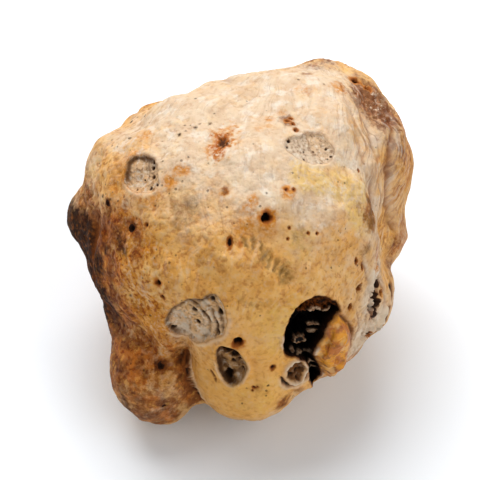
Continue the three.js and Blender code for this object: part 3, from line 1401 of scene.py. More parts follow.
@dataclass(frozen=True)
class TruffleFinish:
    """The skin's finish: cream to ochre, browner low down and, with painted shade, on the left; bare grey
    flesh in scars and holes.
    """

    tan: Rgba = colour(221, 175, 117)
    cream: Rgba = colour(224, 202, 175)
    # whitest skin, also the painted highlight on the top and on the wrinkles' threads
    white: Rgba = colour(233, 221, 204)
    blush: Rgba = colour(214, 184, 152)
    ochre: Rgba = colour(229, 166, 80)
    honey: Rgba = colour(240, 196, 126)
    toast: Rgba = colour(180, 116, 52)
    amber: Rgba = colour(204, 130, 36)
    yellow: Rgba = colour(232, 190, 96)
    rust: Rgba = colour(176, 98, 38)
    chestnut: Rgba = colour(184, 103, 35)
    brown: Rgba = colour(130, 67, 21)
    # darkest brown; on the left flank, in the folds and in the holes it is also painted shade
    umber_and_shade: Rgba = colour(40, 20, 9)
    bark: Rgba = colour(88, 43, 14)
    clay: Rgba = colour(170, 114, 78)
    red_brown: Rgba = colour(120, 72, 46)
    olive: Rgba = colour(116, 84, 38)
    flesh_fresh: Rgba = colour(226, 204, 178)
    flesh: Rgba = colour(186, 156, 126)
    flesh_dark: Rgba = colour(128, 90, 60)
    flesh_pale: Rgba = colour(232, 216, 194)
    # old brown flesh, also the painted shade on the walls under the scars' rims
    flesh_raw_and_shade: Rgba = colour(112, 72, 38)
    flesh_shade: Rgba = colour(84, 52, 28)
    # dark pores, also the deepest painted shade in scars and hollows
    flesh_pore_and_deep_shade: Rgba = colour(40, 25, 15)
    flap: Rgba = colour(228, 150, 24)
    # painted shade deep in the holes
    hole_shade_black: Rgba = colour(13, 8, 6)
    groove_shade: Rgba = colour(182, 130, 84)
    roughness: float = 0.58
    flap_coat: float = 0.3
    bump: float = 1.0

    def make(self) -> bpy.types.Material:
        """Builds the material.

        Returns:
            The material, to be put on the skin.
        """
        material = bpy.data.materials.new("truffle_peridium")
        coat = SkinCoat(material, self)
        coat.lay_pale_skin()
        coat.lay_dark_skin()
        coat.strew_grains()
        coat.draw_wrinkles()
        coat.scatter_pores()
        coat.stain_and_shade()
        coat.lay_flap()
        coat.bare_scars()
        coat.darken_holes()
        coat.set_shader()
        return material


class SkinCoat(Graph):
    """The skin's material while it is built: colours laid one over another, and the relief to match.

    It works in millimetres from the middle of the body, and reads the masks that the small shapes left.
    """

    def __init__(self, material: bpy.types.Material, tones: TruffleFinish) -> None:
        """Starts from a plain tan coat and places the effects that colour and relief share.

        Args:
            material: the material.
            tones: its colours and its shine.
        """
        super().__init__(empty_tree(material))
        self.tones = tones
        self.colour: Value = tones.tan
        place = self.node("ShaderNodeTexCoord").outputs["Object"]
        place = self.vector("SUBTRACT", place, tuple(BODY_MIDDLE))
        self.place = self.vector("SCALE", place, scale=1 / MM)
        self.grain = self.effect(Effect.GRAIN, Size=0.55)
        self.grooves = self.effect(Effect.WRINKLES, Spacing=1.3, Length=6.0, Wander=6.0).outputs["Groove"]
        self.threads = self.effect(Effect.WRINKLES, Spacing=0.55, Length=3.4, Wander=6.0).outputs["Height"]
        self.pores = self.pore_mask()
        self.pits = self.effect(Effect.PORES, Spacing=0.62, Radius=0.2, Share=0.2).outputs["Mask"]
        self.streaky = self.streakiness()
        jitter = self.math("MULTIPLY_ADD", self.noise(self.place, 2.6, 3.0), 0.36, -0.18)
        self.scar = self.math("ADD", self.mask("scar"), jitter)
        self.bare = self.ramp(self.scar, 0.06, -0.1)

    def lay(self, tone: Value, *shares: Value) -> None:
        """Lays a colour over the colour so far. The shares are multiplied together."""
        self.colour = self.mix(self.times(*shares), self.colour, tone)

    def mask(self, name: str) -> Socket:
        """Reads one of the skin's own masks."""
        made = self.node("ShaderNodeAttribute", attribute_name=name, attribute_type="GEOMETRY")
        return made.outputs["Fac"]

    def effect(self, effect: Effect, **values: Value) -> bpy.types.Node:
        """Places one of the shared effects.

        Args:
            effect: which effect.
            **values: its own settings.

        Returns:
            The group's node.
        """
        made = self.node("ShaderNodeGroup", node_tree=bpy.data.node_groups[effect.value])
        for name, value in {"Place": self.place, **values}.items():
            self.feed(made.inputs[name], value)
        return made

    def blotch(self, size: float, share: float, warp: float = 0.6) -> Socket:
        """Reads soft blotches, by their width in millimetres and the share that they cover."""
        return self.effect(Effect.MOTTLE, Size=size, Share=share, Warp=warp).outputs["Mask"]

    def area(self, name: str, spread: float) -> Socket:
        """Reads a soft area's mask and makes its edge ragged.

        Args:
            name: the mask's name.
            spread: how far the edge strays.

        Returns:
            The mask's socket.
        """
        ragged = self.times(self.noise(self.place, 0.6, 5.0, 0.65), 0.55)
        ragged = self.math("MULTIPLY_ADD", self.noise(self.place, 2.0, 4.0, 0.65), 0.45, ragged)
        ragged = self.math("SUBTRACT", ragged, 0.5)
        pushed = self.math("MULTIPLY_ADD", ragged, spread, self.mask(name))
        return self.times(self.ramp(self.mask(name), 0.0, 0.15), self.ramp(pushed, 0.1, 0.9))

    def aside(self, x: float, y: float, z: float) -> Socket:
        """Moves the place aside, so that two uses of one noise differ."""
        return self.vector("ADD", self.place, (x, y, z))

    def calm(self) -> Socket:
        """How much fine marking the skin shows: less where it is smooth or cream.

        Returns:
            The share's socket.
        """
        rough = self.ramp(self.mask("rough"), 0.0, 0.8, 0.5, 1.0)
        smooth = self.ramp(self.mask("smooth"), 0.0, 1.0, 1.0, 0.55)
        return self.times(rough, smooth, self.ramp(self.mask("cream"), 0.0, 1.0, 1.0, 0.4))

    def streakiness(self) -> Socket:
        """How strongly the wrinkles show: in patches, and most where the skin is marked for them.

        Returns:
            The share's socket.
        """
        patchy = self.ramp(self.noise(self.place, 0.3, 2.0), 0.42, 0.62, 0.04, 0.3)
        patchy = self.times(patchy, self.ramp(self.mask("smooth"), 0.1, 1.0, 1.0, 0.15))
        uneven = self.ramp(self.noise(self.place, 0.6, 2.0), 0.3, 0.6, 0.4, 1.0)
        return self.math("MAXIMUM", patchy, self.times(self.mask("streak"), uneven))

    def pore_mask(self) -> Socket:
        """Small and large dark pores, thicker where the skin is marked for them.

        Returns:
            The mask's socket.
        """
        share = self.math("MULTIPLY_ADD", self.mask("speck"), 0.4, 0.06)
        small = self.effect(Effect.PORES, Spacing=0.7, Radius=0.19, Share=share).outputs["Mask"]
        share = self.math("MULTIPLY_ADD", self.mask("speck"), 0.3, 0.03)
        large = self.effect(Effect.PORES, Spacing=1.5, Radius=0.14, Share=share).outputs["Mask"]
        return self.math("MAXIMUM", self.times(small, 0.7), large)

    def lay_pale_skin(self) -> None:
        """Lays the pale and golden colours over each other."""
        tones, place = self.tones, self.place
        moved = self.aside(31.0, 7.0, -12.0)
        calm = self.calm()
        cream = self.mask("cream")
        self.lay(tones.cream, self.blotch(2.6, 0.5), 0.5)
        self.lay(tones.ochre, self.blotch(1.9, 0.42), 0.5)
        # cream areas: pale skin, on the top partly a painted highlight
        self.lay(tones.cream, self.area("cream", 1.6), 0.88)
        self.lay(tones.ochre, self.area("ochre", 1.6), 0.88)
        self.lay(tones.toast, self.ramp(self.noise(moved, 0.4, 4.0, 0.6), 0.5, 0.64), calm, 0.5)
        self.lay(tones.toast, self.ramp(self.noise(place, 0.85, 3.0, 0.5), 0.46, 0.68), calm, 0.8)
        self.lay(tones.honey, self.ramp(self.noise(moved, 0.75, 3.0, 0.5), 0.46, 0.68), calm, 0.8)
        self.lay(tones.blush, self.ramp(self.noise(moved, 0.5, 4.0, 0.6), 0.46, 0.62), cream, 0.75)
        # whitest patches on the cream: pale skin with a painted highlight
        self.lay(tones.white, self.ramp(self.noise(place, 0.6, 4.0, 0.6), 0.5, 0.66), cream, 0.7)
        broken = self.ramp(self.noise(moved, 1.7, 4.0, 0.65), 0.4, 0.54, 0.3, 1.0)
        self.lay(tones.yellow, self.area("yellow", 1.6), broken, 0.62)
        self.lay(tones.amber, self.area("amber", 2.0), broken, 0.92)
        self.lay(tones.rust, self.area("rust", 2.2), self.ramp(broken, 0.3, 0.9, 0.4, 1.0))

    def lay_dark_skin(self) -> None:
        """Lays brown, darkest and red-brown skin, mottled with chestnut and gold; partly painted shade on the
        left.
        """
        tones, place = self.tones, self.place
        moved = self.aside(-9.0, 22.0, 5.0)
        patchy = self.ramp(self.noise(place, 0.7, 4.0, 0.62), 0.45, 0.6)
        brown = self.area("brown", 2.6)
        self.lay(self.mix(patchy, tones.brown, tones.chestnut), brown, 0.88)
        self.lay(tones.ochre, self.ramp(self.noise(moved, 1.2, 3.0, 0.6), 0.56, 0.68), brown, 0.6)
        self.lay(tones.bark, self.mask("brown"), self.blotch(1.6, 0.42, 1.0), 0.7)
        fleck = self.ramp(self.noise(moved, 1.0, 4.0, 0.62), 0.5, 0.66, 0.0, 0.8)
        # darkest area: dark skin and, on the left flank, painted shade
        self.lay(self.mix(fleck, tones.umber_and_shade, tones.bark), self.area("umber_and_shade", 2.0), 0.95)
        patchy = self.ramp(self.noise(moved, 1.4, 3.0, 0.6), 0.5, 0.62)
        self.lay(self.mix(patchy, tones.red_brown, tones.clay), self.area("red", 3.0), 0.88)
        self.lay(tones.cream, self.mask("red"), self.ramp(self.noise(place, 2.2, 3.0, 0.6), 0.6, 0.7), 0.8)

    def strew_grains(self) -> None:
        """Strews fine dark and light grains over the skin, and lays the olive marks."""
        tones = self.tones
        calm = self.calm()
        dark_zone = self.math("MAXIMUM", self.mask("brown"), self.mask("umber_and_shade"), clamp=True)
        shaded = self.mix(1.0, self.colour, tones.groove_shade, "MULTIPLY")
        self.lay(shaded, self.grain.outputs["Dark"], calm, 0.85)
        # light grains: pale and gold flecks, partly painted glints on the tiny bumps
        self.lay(self.mix(dark_zone, tones.cream, tones.chestnut), self.grain.outputs["Light"], calm, 0.4)
        self.lay(tones.olive, self.area("olive", 2.4), 0.62)
        self.lay(tones.olive, self.mask("dash"), 0.85)

    def draw_wrinkles(self) -> None:
        """Paints shade in the grooves and between the threads, and a painted highlight on the threads, off
        dark skin.
        """
        tones = self.tones
        shaded = self.mix(1.0, self.colour, tones.groove_shade, "MULTIPLY")
        deep = self.mix(1.0, shaded, tones.groove_shade, "MULTIPLY")
        self.lay(shaded, self.grooves, self.ramp(self.mask("streak"), 0.2, 0.9, 0.0, 0.45))
        self.lay(deep, self.ramp(self.threads, 0.46, 0.34), self.streaky, 0.55)
        dark_zone = self.math("MAXIMUM", self.mask("brown"), self.mask("umber_and_shade"))
        clear = self.ramp(dark_zone, 0.0, 0.4, 0.5, 0.0)
        # painted highlight on the raised threads
        self.lay(tones.white, self.ramp(self.threads, 0.54, 0.68), self.streaky, clear)

    def scatter_pores(self) -> None:
        """Darkens the pores."""
        self.lay(self.tones.umber_and_shade, self.pores, 0.85)

    def stain_and_shade(self) -> None:
        """Lays the halos round the small holes, and dark marks in folds, slits and pits: partly staining,
        partly painted shade.
        """
        tones = self.tones
        halo, stain_and_shade = self.mask("halo"), self.mask("stain_and_shade")
        uneven = self.math("MULTIPLY_ADD", self.noise(self.place, 1.8, 3.0), 1.1, -0.55)
        uneven = self.ramp(self.math("ADD", halo, uneven), 0.1, 1.0, 0.0, 0.85)
        ring = self.mix(self.ramp(halo, 0.4, 1.0), tones.amber, tones.rust)
        self.lay(ring, uneven, self.ramp(halo, 0.0, 0.3))
        # partly painted shade: dark brown in the folds and slits, darkest where deepest
        self.lay(tones.brown, self.ramp(stain_and_shade, 0.0, 0.5), 0.7)
        self.lay(tones.umber_and_shade, self.ramp(stain_and_shade, 0.35, 1.0, 0.0, 0.95))

    def lay_flap(self) -> None:
        """Lays the flap's amber skin."""
        tones, place = self.tones, self.place
        moved = self.aside(5.0, -14.0, 23.0)
        skin = self.mix(self.ramp(self.noise(place, 0.8, 3.0), 0.42, 0.6), tones.flap, tones.chestnut)
        skin = self.mix(self.ramp(self.noise(moved, 1.1, 3.0), 0.52, 0.66, 0.0, 0.75), skin, tones.brown)
        skin = self.mix(self.ramp(self.noise(moved, 0.7, 2.0), 0.46, 0.34, 0.0, 0.5), skin, tones.honey)
        self.lay(skin, self.mask("flap"), self.ramp(self.mask("stain_and_shade"), 0.2, 0.8, 0.92, 0.1))

    def flesh(self) -> Socket:
        """Mixes the colour of bare flesh: pale to brown, with skin left on it, veins, pits and painted shade.

        Returns:
            The colour's socket.
        """
        tones = self.tones
        marbling = self.effect(Effect.FLESH, Grain=0.45)
        fresh, raw_flesh_and_shade, shade = self.mask("fresh"), self.mask("raw_flesh_and_shade"), self.mask("shade")
        shown = self.mix(fresh, tones.flesh, tones.flesh_fresh)
        skinned = self.ramp(self.noise(self.place, 1.2, 3.0), 0.44, 0.62, 0.1, 0.55)
        shown = self.mix(skinned, shown, self.colour)
        shown = self.mix(self.times(self.mask("ochre"), 0.55), shown, tones.ochre)
        shown = self.mix(self.times(marbling.outputs["Pore"], 0.6), shown, tones.flesh_dark)
        shown = self.mix(raw_flesh_and_shade, shown, tones.flesh_raw_and_shade)
        pale = self.ramp(self.math("SUBTRACT", fresh, raw_flesh_and_shade), -1.0, 1.0, 0.1, 0.8)
        shown = self.mix(self.times(marbling.outputs["Vein"], pale), shown, tones.flesh_pale)
        shown = self.mix(self.times(self.pits, 0.75), shown, tones.flesh_pore_and_deep_shade)
        # painted shade: brown where light, darkest where deep
        shown = self.mix(self.ramp(shade, 0.0, 0.6, 0.0, 0.88), shown, tones.flesh_shade)
        return self.mix(self.ramp(shade, 0.45, 1.0, 0.0, 0.95), shown, tones.flesh_pore_and_deep_shade)

    def bare_scars(self) -> None:
        """Shows bare flesh in the scars, with a brown edge, and pale rims that are partly painted highlight.
        """
        flesh = self.flesh()
        self.lay(self.tones.brown, self.ramp(self.math("ABSOLUTE", self.scar), 0.2, 0.0), 0.4)
        self.lay(flesh, self.bare)
        self.lay(self.tones.cream, self.mask("rim"))

    def darken_holes(self) -> None:
        """Paints shade into the holes, very dark deep in, with browner walls under the ceiling, pale crumbs
        and a brown edge.
        """
        tones = self.tones
        hole = self.math("MULTIPLY_ADD", self.noise(self.place, 2.6, 3.0), 0.18, self.mask("hole"))
        hole = self.math("SUBTRACT", hole, 0.09)
        clear = self.ramp(self.mask("stain_and_shade"), 0.0, 0.8, 0.75, 0.0)
        self.lay(tones.brown, self.ramp(hole, 0.2, 0.0), clear)
        patchy = self.ramp(self.noise(self.place, 2.4, 4.0, 0.65), 0.42, 0.6)
        # painted shade: dark brown near the mouth, very dark deeper in
        inner = self.mix(self.ramp(hole, 0.0, -0.4), tones.umber_and_shade, tones.hole_shade_black)
        wall = self.mix(patchy, tones.umber_and_shade, tones.brown)
        inner = self.mix(self.times(self.mask("raw_flesh_and_shade"), 0.95), inner, wall)
        crumb = self.mix(patchy, tones.flesh_dark, tones.flesh)
        inner = self.mix(self.ramp(self.mask("fragment"), 0.45, 0.95), inner, crumb)
        self.lay(inner, self.ramp(hole, 0.03, -0.1))

    def roughness(self) -> Socket:
        """Works out how dull the skin is: dullest where it is dark or bare.

        Returns:
            The roughness socket.
        """
        base = self.tones.roughness - 0.15
        rough = self.math("MULTIPLY_ADD", self.noise(self.place, 0.9, 3.0), 0.3, base)
        rough = self.math("SUBTRACT", rough, self.times(self.mask("flap"), 0.15))
        rough = self.math("ADD", rough, self.times(self.mask("umber_and_shade"), 0.2))
        return self.math("ADD", rough, self.times(self.bare, 0.25), clamp=True)

    def relief(self) -> Socket:
        """Adds up the fine relief, in millimetres.

        Returns:
            The height socket.
        """
        calm = self.ramp(self.mask("smooth"), 0.0, 1.0, 1.0, 0.5)
        peel = self.times(self.noise(self.place, 0.9, 3.0, 0.5), 0.24)
        peel = self.math("ADD", peel, self.times(self.grain.outputs["Height"], 0.1))
        height = self.math("ADD", self.times(peel, calm), self.times(self.threads, self.streaky, 0.1))
        height = self.math("SUBTRACT", height, self.times(self.grooves, self.streaky, 0.08))
        height = self.math("SUBTRACT", height, self.times(self.pores, 0.08))
        rough = self.times(self.noise(self.place, 4.0, 3.0, 0.7), 0.16)
        rough = self.math("SUBTRACT", rough, self.times(self.pits, 0.14))
        return self.math("ADD", height, self.times(rough, self.bare))

    def set_shader(self) -> None:
        """Feeds the colour, the roughness and the relief to the shader."""
        shader = self.node(
            "ShaderNodeBsdfPrincipled",
            {
                "Base Color": self.colour,
                "Roughness": self.roughness(),
                "Specular IOR Level": 0.08,
                "Subsurface Weight": 0.05,
                "Subsurface Radius": (1.0, 0.5, 0.25),
                "Subsurface Scale": 0.0005,
                "Coat Roughness": 0.3,
                "Coat Weight": self.times(self.mask("flap"), self.tones.flap_coat),
            },
        )
        relief = {"Height": self.relief(), "Strength": self.tones.bump, "Distance": MM}
        self.feed(shader.inputs["Normal"], self.node("ShaderNodeBump", relief).outputs[0])
        self.node("ShaderNodeOutputMaterial", {"Surface": shader.outputs[0]})


# ---- The studio ----


@dataclass
class Studio:
    """A plain pale floor, soft lamps and the camera."""

    floor_size: float = 3.0
    distance: float = 0.62  # from the camera to what it aims at, in metres
    view_width: float = 0.0525  # how much the view spans there, in metres
    aim: tuple[float, float, float] = (0.0, 0.0, 0.0158)  # what the camera and the lamps face

    def build(self) -> None:
        """Makes the floor, the lamps, the world and the camera."""
        self.lay_floor()
        self.hang_lamps()
        self.light_world()
        self.set_camera()
        bpy.context.scene.view_settings.view_transform = "Standard"

    def lay_floor(self) -> None:
        """Lays a white floor that keeps the shadow near the truffle and glows to the camera farther out, a
        painted light that fades it.
        """
        mesh = bpy.data.meshes.new("floor")
        half = self.floor_size / 2
        corners = [(-half, -half, 0), (half, -half, 0), (half, half, 0), (-half, half, 0)]
        mesh.from_pydata(corners, [], [(0, 1, 2, 3)])
        floor = add_object("floor", mesh)
        material = bpy.data.materials.new("glowing_white_paper")
        graph = Graph(empty_tree(material))
        place = graph.node("ShaderNodeTexCoord").outputs["Object"]
        tone = graph.mix(graph.noise(place, 30.0, 2.0), colour(236, 240, 245), colour(239, 243, 247))
        paper = graph.node("ShaderNodeBsdfPrincipled", {"Base Color": tone, "Roughness": 0.9})
        path = graph.node("ShaderNodeLightPath")
        glow = graph.node("ShaderNodeEmission", {"Color": (1, 1, 1, 1)})
        away = graph.vector("LENGTH", place)
        # painted light: to the camera the floor glows more with distance from the truffle, fading the cast
        # shadow
        near = graph.ramp(away, 0.02, 0.045, 0.05, 0.2)
        bright = graph.math("ADD", near, graph.ramp(away, 0.1, 0.6, 0.0, 0.9))
        graph.feed(glow.inputs["Strength"], graph.times(path.outputs["Is Camera Ray"], bright))
        both = graph.node("ShaderNodeAddShader", {0: paper.outputs[0], 1: glow.outputs[0]})
        graph.node("ShaderNodeOutputMaterial", {"Surface": both.outputs[0]})
        mesh.materials.append(material)

    def hang_lamps(self) -> None:
        """Hangs a large soft key above and behind on the left, and a wide fill in front."""
        self.lamp("key", azimuth=-163, elevation=58, away=0.7, size=0.6, power=5.6)
        self.lamp("fill", azimuth=58, elevation=38, away=0.9, size=0.8, power=2.72)

    def lamp(
        self, name: str, azimuth: float, elevation: float, away: float, size: float, power: float
    ) -> None:
        """Hangs one square lamp that faces the truffle.

        Args:
            name: the lamp's name.
            azimuth: its side, in degrees.
            elevation: its height above the floor, in degrees.
            away: its distance in metres.
            size: its width in metres.
            power: its power in watts.
        """
        data = bpy.data.lights.new(name, "AREA")
        data.energy, data.size = power, size
        self.face_truffle(add_object(name, data), (azimuth, elevation), away)

    def face_truffle(self, item: bpy.types.Object, place: Place, away: float) -> None:
        """Moves a lamp or the camera to its place and turns it to the truffle.

        Args:
            item: the lamp or the camera.
            place: its side and its height above the floor, in degrees.
            away: its distance in metres.
        """
        way = Vector(direction(place))
        item.location = Vector(self.aim) + way * away
        item.rotation_mode = "QUATERNION"
        item.rotation_quaternion = (-way).to_track_quat("-Z", "Y")

    def light_world(self) -> None:
        """Surrounds everything with an even pale light, pure white where the camera sees it."""
        world = bpy.data.worlds.new("studio")
        graph = Graph(empty_tree(world))
        path = graph.node("ShaderNodeLightPath")
        strength = graph.ramp(path.outputs["Is Camera Ray"], 0.0, 1.0, 0.33, 1.0)
        back = graph.node("ShaderNodeBackground", {"Color": (1, 1, 1, 1), "Strength": strength})
        graph.node("ShaderNodeOutputWorld", {"Surface": back.outputs[0]})
        bpy.context.scene.world = world

    def set_camera(self) -> None:
        """Sets a long lens in front, looking down on the truffle."""
        data = bpy.data.cameras.new("camera")
        data.lens = data.sensor_width * self.distance / self.view_width
        data.clip_start, data.clip_end = 0.01, 20.0
        camera = add_object("camera", data)
        self.face_truffle(camera, (0.0, LOOK_DOWN), self.distance)
        bpy.context.scene.camera = camera


# ---- This truffle's own marks ----


def scars() -> list[Scar]:
    """The grazed scars, front and back.

    Returns:
        The scars.
    """
    left = (
        (-2.3, 0.2), (-2.0, 1.5), (-0.9, 2.05), (0.3, 1.9), (1.2, 1.6), (2.1, 0.5), (2.5, -0.8),
        (2.4, -1.9), (1.0, -2.2), (-0.6, -2.0), (-2.0, -1.1),
    )
    right = (
        (-3.4, 0.2), (-2.4, 1.2), (-1.3, 1.4), (0.3, 1.9), (1.5, 1.6), (1.9, 0.6), (2.5, -0.5),
        (1.8, -1.6), (0.3, -2.2), (-1.6, -2.0), (-2.9, -1.2),
    )
    double = (
        (-3.65, 0.0), (-3.25, 1.0), (-2.05, 2.2), (-0.4, 3.2), (0.75, 3.6), (1.5, 3.45), (2.2, 3.3),
        (2.9, 3.7), (3.9, 3.7), (4.4, 3.0), (4.55, 2.1), (4.5, 1.2), (4.2, 0.2), (3.6, -0.8), (2.7, -1.5),
        (1.1, -2.1), (-0.2, -2.4), (-1.6, -2.6), (-2.9, -2.2), (-3.75, -1.4),
    )
    return [
        Scar(
            (-77, 50),
            left,
            depth=0.4,
            fresh=0.5,
            pores=(
                (1.0, 0.75, 0.24), (1.26, -0.27, 0.23), (1.3, -1.55, 0.2), (2.2, -1.2, 0.12),
                (1.05, 1.4, 0.18), (0.04, -0.57, 0.1), (-0.53, -1.7, 0.1), (0.5, -0.1, 0.08),
            ),
            shaded=0.35,
        ),
        Scar(
            (89, 62),
            right,
            depth=0.2,
            fresh=0.6,
            pores=(
                (-2.7, 0.8, 0.26), (-1.0, 1.9, 0.16), (0.2, -0.35, 0.12), (0.57, -2.0, 0.14),
                (-1.5, -1.57, 0.12), (2.08, -1.07, 0.14), (1.7, -0.14, 0.13),
            ),
            shaded=0.06,
        ),
        Scar(
            (-18, 10),
            double,
            depth=0.45,
            fresh=1.0,
            pores=(
                (-1.56, 1.09, 0.32), (0.87, 1.91, 0.3), (-0.89, 0.06, 0.18), (0.39, 0.05, 0.26),
                (-3.4, -1.1, 0.3), (1.77, 1.5, 0.2), (2.38, -1.23, 0.28), (3.3, 3.1, 0.3),
                (3.7, 1.15, 0.34),
            ),
            cups=((-1.9, 0.2, 1.6, 0.3), (3.4, 1.9, 1.2, 0.3)),
            ribs_at=(-1.3, 0.9),
            ribs=((2.45, 0.16, 0.25), (3.2, 0.2, 0.45), (4.05, 0.2, 0.5), (4.9, 0.2, 0.35)),
            pale=((-2.3, -1.3, 0.9), (-0.5, -2.0, 0.7), (-1.9, 1.0, 0.6), (0.7, -1.3, 0.6), (2.4, 2.6, 0.4)),
            shaded=0.35,
        ),
        Scar((-160, 8), oval(2.0, 1.6), depth=0.45, fresh=0.5, pores=((0.4, 0.3, 0.2), (-0.9, -0.4, 0.16))),
        Scar((138, -12), oval(1.5, 1.9), depth=0.4, fresh=0.3, pores=((-0.3, 0.6, 0.2), (0.5, -0.7, 0.16))),
        Scar((-104, -18), oval(1.3, 1.1), depth=0.35, fresh=0.3, pores=((0.2, 0.1, 0.2),)),
    ]


def pits() -> list[Pit]:
    """The small round holes, front and back.

    Each row is an azimuth, an elevation, a radius, a depth, a halo and, where they aren't 1 and 0, the
    stretch and the turn.

    Returns:
        The pits.
    """
    rows = [
        (16.6, 54.7, 0.5, 1.3, 1.6), (-0.5, 7.2, 0.52, 1.2, 1.1, 1.1),
        (-59, 34.2, 0.4, 0.45, 0.0, 0.8, 20), (-52, 40.3, 0.2, 0.3, 1.4), (-78.2, 30.7, 0.2, 0.35, 0.0),
        (11.9, -8.1, 0.24, 0.25, 1.4, 1.3), (4.9, -15.3, 0.2, 0.2, 1.2, 0.7, -40),
        (6.1, -15.0, 0.12, 0.12, 1.2), (4.2, -16.4, 0.1, 0.12, 1.2), (-5.2, 46.6, 0.24, 0.3, 1.0, 2.2),
        (28.5, 48.6, 0.13, 0.2, 1.6), (25.5, 45.1, 0.12, 0.2, 1.6), (37.2, 43.5, 0.12, 0.2, 1.6),
        (41.4, 41.7, 0.12, 0.2, 1.6), (-35.4, 23.5, 0.15, 0.2, 1.6),
        (-31.1, -18, 0.2, 0.3, 0.0, 1.3, 30), (-27, -28.6, 0.16, 0.2, 0.0, 0.6),
        (-34.6, 23.8, 0.3, 0.35, 2.0), (-31.8, 18.8, 0.24, 0.3, 2.0), (119, 69.5, 0.2, 0.3, 2.4),
        (122, 67.5, 0.16, 0.3, 2.4), (112, 68.5, 0.15, 0.25, 2.0), (104, 68.1, 0.18, 0.25, 2.0),
        (38, 61.6, 0.15, 0.2, 3.0), (43.5, 60.2, 0.13, 0.2, 3.0), (134, 33.9, 0.46, 0.8, 1.6, 0.7, -30),
        (129, 32, 0.3, 0.5, 1.6), (63.4, 1.2, 0.9, 1.3, 0.0, 0.6), (60.6, -1.5, 0.66, 1.0, 0.0, 0.6),
        (64.6, -4.7, 0.4, 0.5, 0.6, 0.8), (60.2, -5.6, 0.7, 1.1, 0.0, 0.85),
        (58.6, -8.6, 0.3, 0.5, 0.0, 1.4), (54.6, -17.1, 0.3, 0.6, 0.8),
        (53.3, 8.5, 0.22, 0.6, 0.8, 1.7, -20), (46.6, 3.9, 0.2, 0.5, 0.9, 1.5),
        (55.2, 20.4, 0.22, 0.45, 0.8, 1.5, 30), (57.8, 15.8, 0.2, 0.4, 0.8, 1.6),
        (85.7, 42.4, 0.14, 0.15, 1.5), (150, 20, 0.45, 0.9, 2.0), (-140, -5, 0.42, 0.9, 2.2),
        (170, 45, 0.32, 0.6, 2.2), (-115, 12, 0.45, 0.8, 2.2, 0.7), (100, -8, 0.36, 0.8, 2.2),
    ]
    return [Pit((azimuth, elevation), *sizes) for azimuth, elevation, *sizes in rows]


def creases() -> list[Crease]:
    """Folds and raised threads of the skin.

    Returns:
        The creases.
    """
    return [
        Crease([(128, 44), (114, 47), (98, 44), (86, 36), (82, 26)], 0.25, 0.45, stain_and_shade=0.2, pale=0.3),
        Crease([(120, 30), (104, 30), (95, 22), (92, 10), (88, -4)], 0.4, 0.45, stain_and_shade=0.45, pale=0.3),
        Crease([(132, 40), (112, 40), (97, 34), (88, 22), (86, 8)], 0.22, 0.3, stain_and_shade=0.35, pale=0.3),
        Crease([(96, 38), (82, 30), (76, 18), (74, 4), (70, -8)], 0.22, 0.3, stain_and_shade=0.4, pale=0.4),
        Crease([(88, 32), (78, 22), (72, 8), (68, -6), (60, -16)], 0.2, 0.25, stain_and_shade=0.35, pale=0.4),
        Crease([(68, 12), (68, 4), (67, -6), (66, -13)], 0.3, 0.3, stain_and_shade=0.6, pale=0.6),
        Crease([(56, -0.5), (56.4, -4), (56, -7), (54.6, -10)], 0.35, 0.34, stain_and_shade=1.0),
        Crease([(73.5, -8), (72.8, -11), (71, -14.5)], 0.3, 0.3, stain_and_shade=0.9),
        Crease([(64.5, 3), (62, -0.5), (60.4, -4), (59.6, -8), (60.5, -10)], 0.5, 0.42, stain_and_shade=1.5),
        Crease([(68, -14), (64.5, -17), (61.5, -19.6), (58, -20.8), (54, -19.2)], 0.6, 0.5, stain_and_shade=1.8),
        Crease([(61.8, 12), (60.4, 9), (58.6, 5), (57.8, 1.4)], -0.35, 0.4, pale=1.1),
        Crease([(66, -11.5), (62.5, -14.5), (58.5, -16.2)], -0.45, 0.6, pale=1.1),
        Crease([(57.6, -11.5), (55.6, -14.4), (53, -15.5)], -0.25, 0.35, pale=0.7),
        Crease([(60, 22), (58, 10), (57, 0), (54, -9)], 0.18, 0.2, stain_and_shade=0.4, pale=0.6),
        Crease([(49, 2), (48, -6), (46, -12)], 0.14, 0.18, stain_and_shade=0.4, pale=0.4),
        Crease([(47, 30), (52, 14), (50, 0)], 0.1, 0.25),
        Crease([(-11.7, -12.8), (-10.4, -15), (-8.6, -17.7)], 0.14, 0.16, stain_and_shade=0.75),
        Crease([(150, 72), (110, 62), (80, 54)], 0.12, 0.4),
        Crease([(-45, 40), (-36, 28), (-34, 12)], 0.15, 0.45),
        Crease([(-104, 38), (-96, 31), (-88, 24), (-82, 17)], -0.4, 1.0),
        Crease([(21, -25.5), (26, -26.5), (31, -28.5)], -0.4, 1.1),
        Crease([(-86, 18), (-76, 8), (-70, -8), (-58, -18)], 0.3, 0.6, stain_and_shade=0.4),
        Crease([(180, 60), (190, 38), (178, 16), (186, -6)], 0.35, 0.6, stain_and_shade=0.3),
        Crease([(-150, 50), (-135, 30), (-138, 10)], 0.3, 0.5, stain_and_shade=0.2),
    ]


def overlaps() -> list[Overlap]:
    """Where one lobe lies over the next.

    Returns:
        The edges.
    """
    chin = [(-20, -1), (-21.7, -6), (-22, -11), (-22.8, -18), (-20.5, -26), (-17.5, -31.5), (-13, -37)]
    return [Overlap(chin, 0.42, 0.55)]


def ribs() -> list[Ribs]:
    """Rows of dark dashes.

    Returns:
        The rows.
    """
    brow = [(-2, 47), (4.4, 46.5), (7.8, 45.5), (11.4, 42.8)]
    brow += [(13, 39.6), (16.1, 36.6), (19.4, 33.2), (21.5, 30)]
    return [
        Ribs(brow, 0.9, 1.0, 0.85),
        Ribs([(-2, 27), (6, 23), (14, 24)], 0.7, 0.5, 0.35),
        Ribs([(68, 34), (70, 28), (68, 22)], 0.6, 0.6, 0.6),
    ]


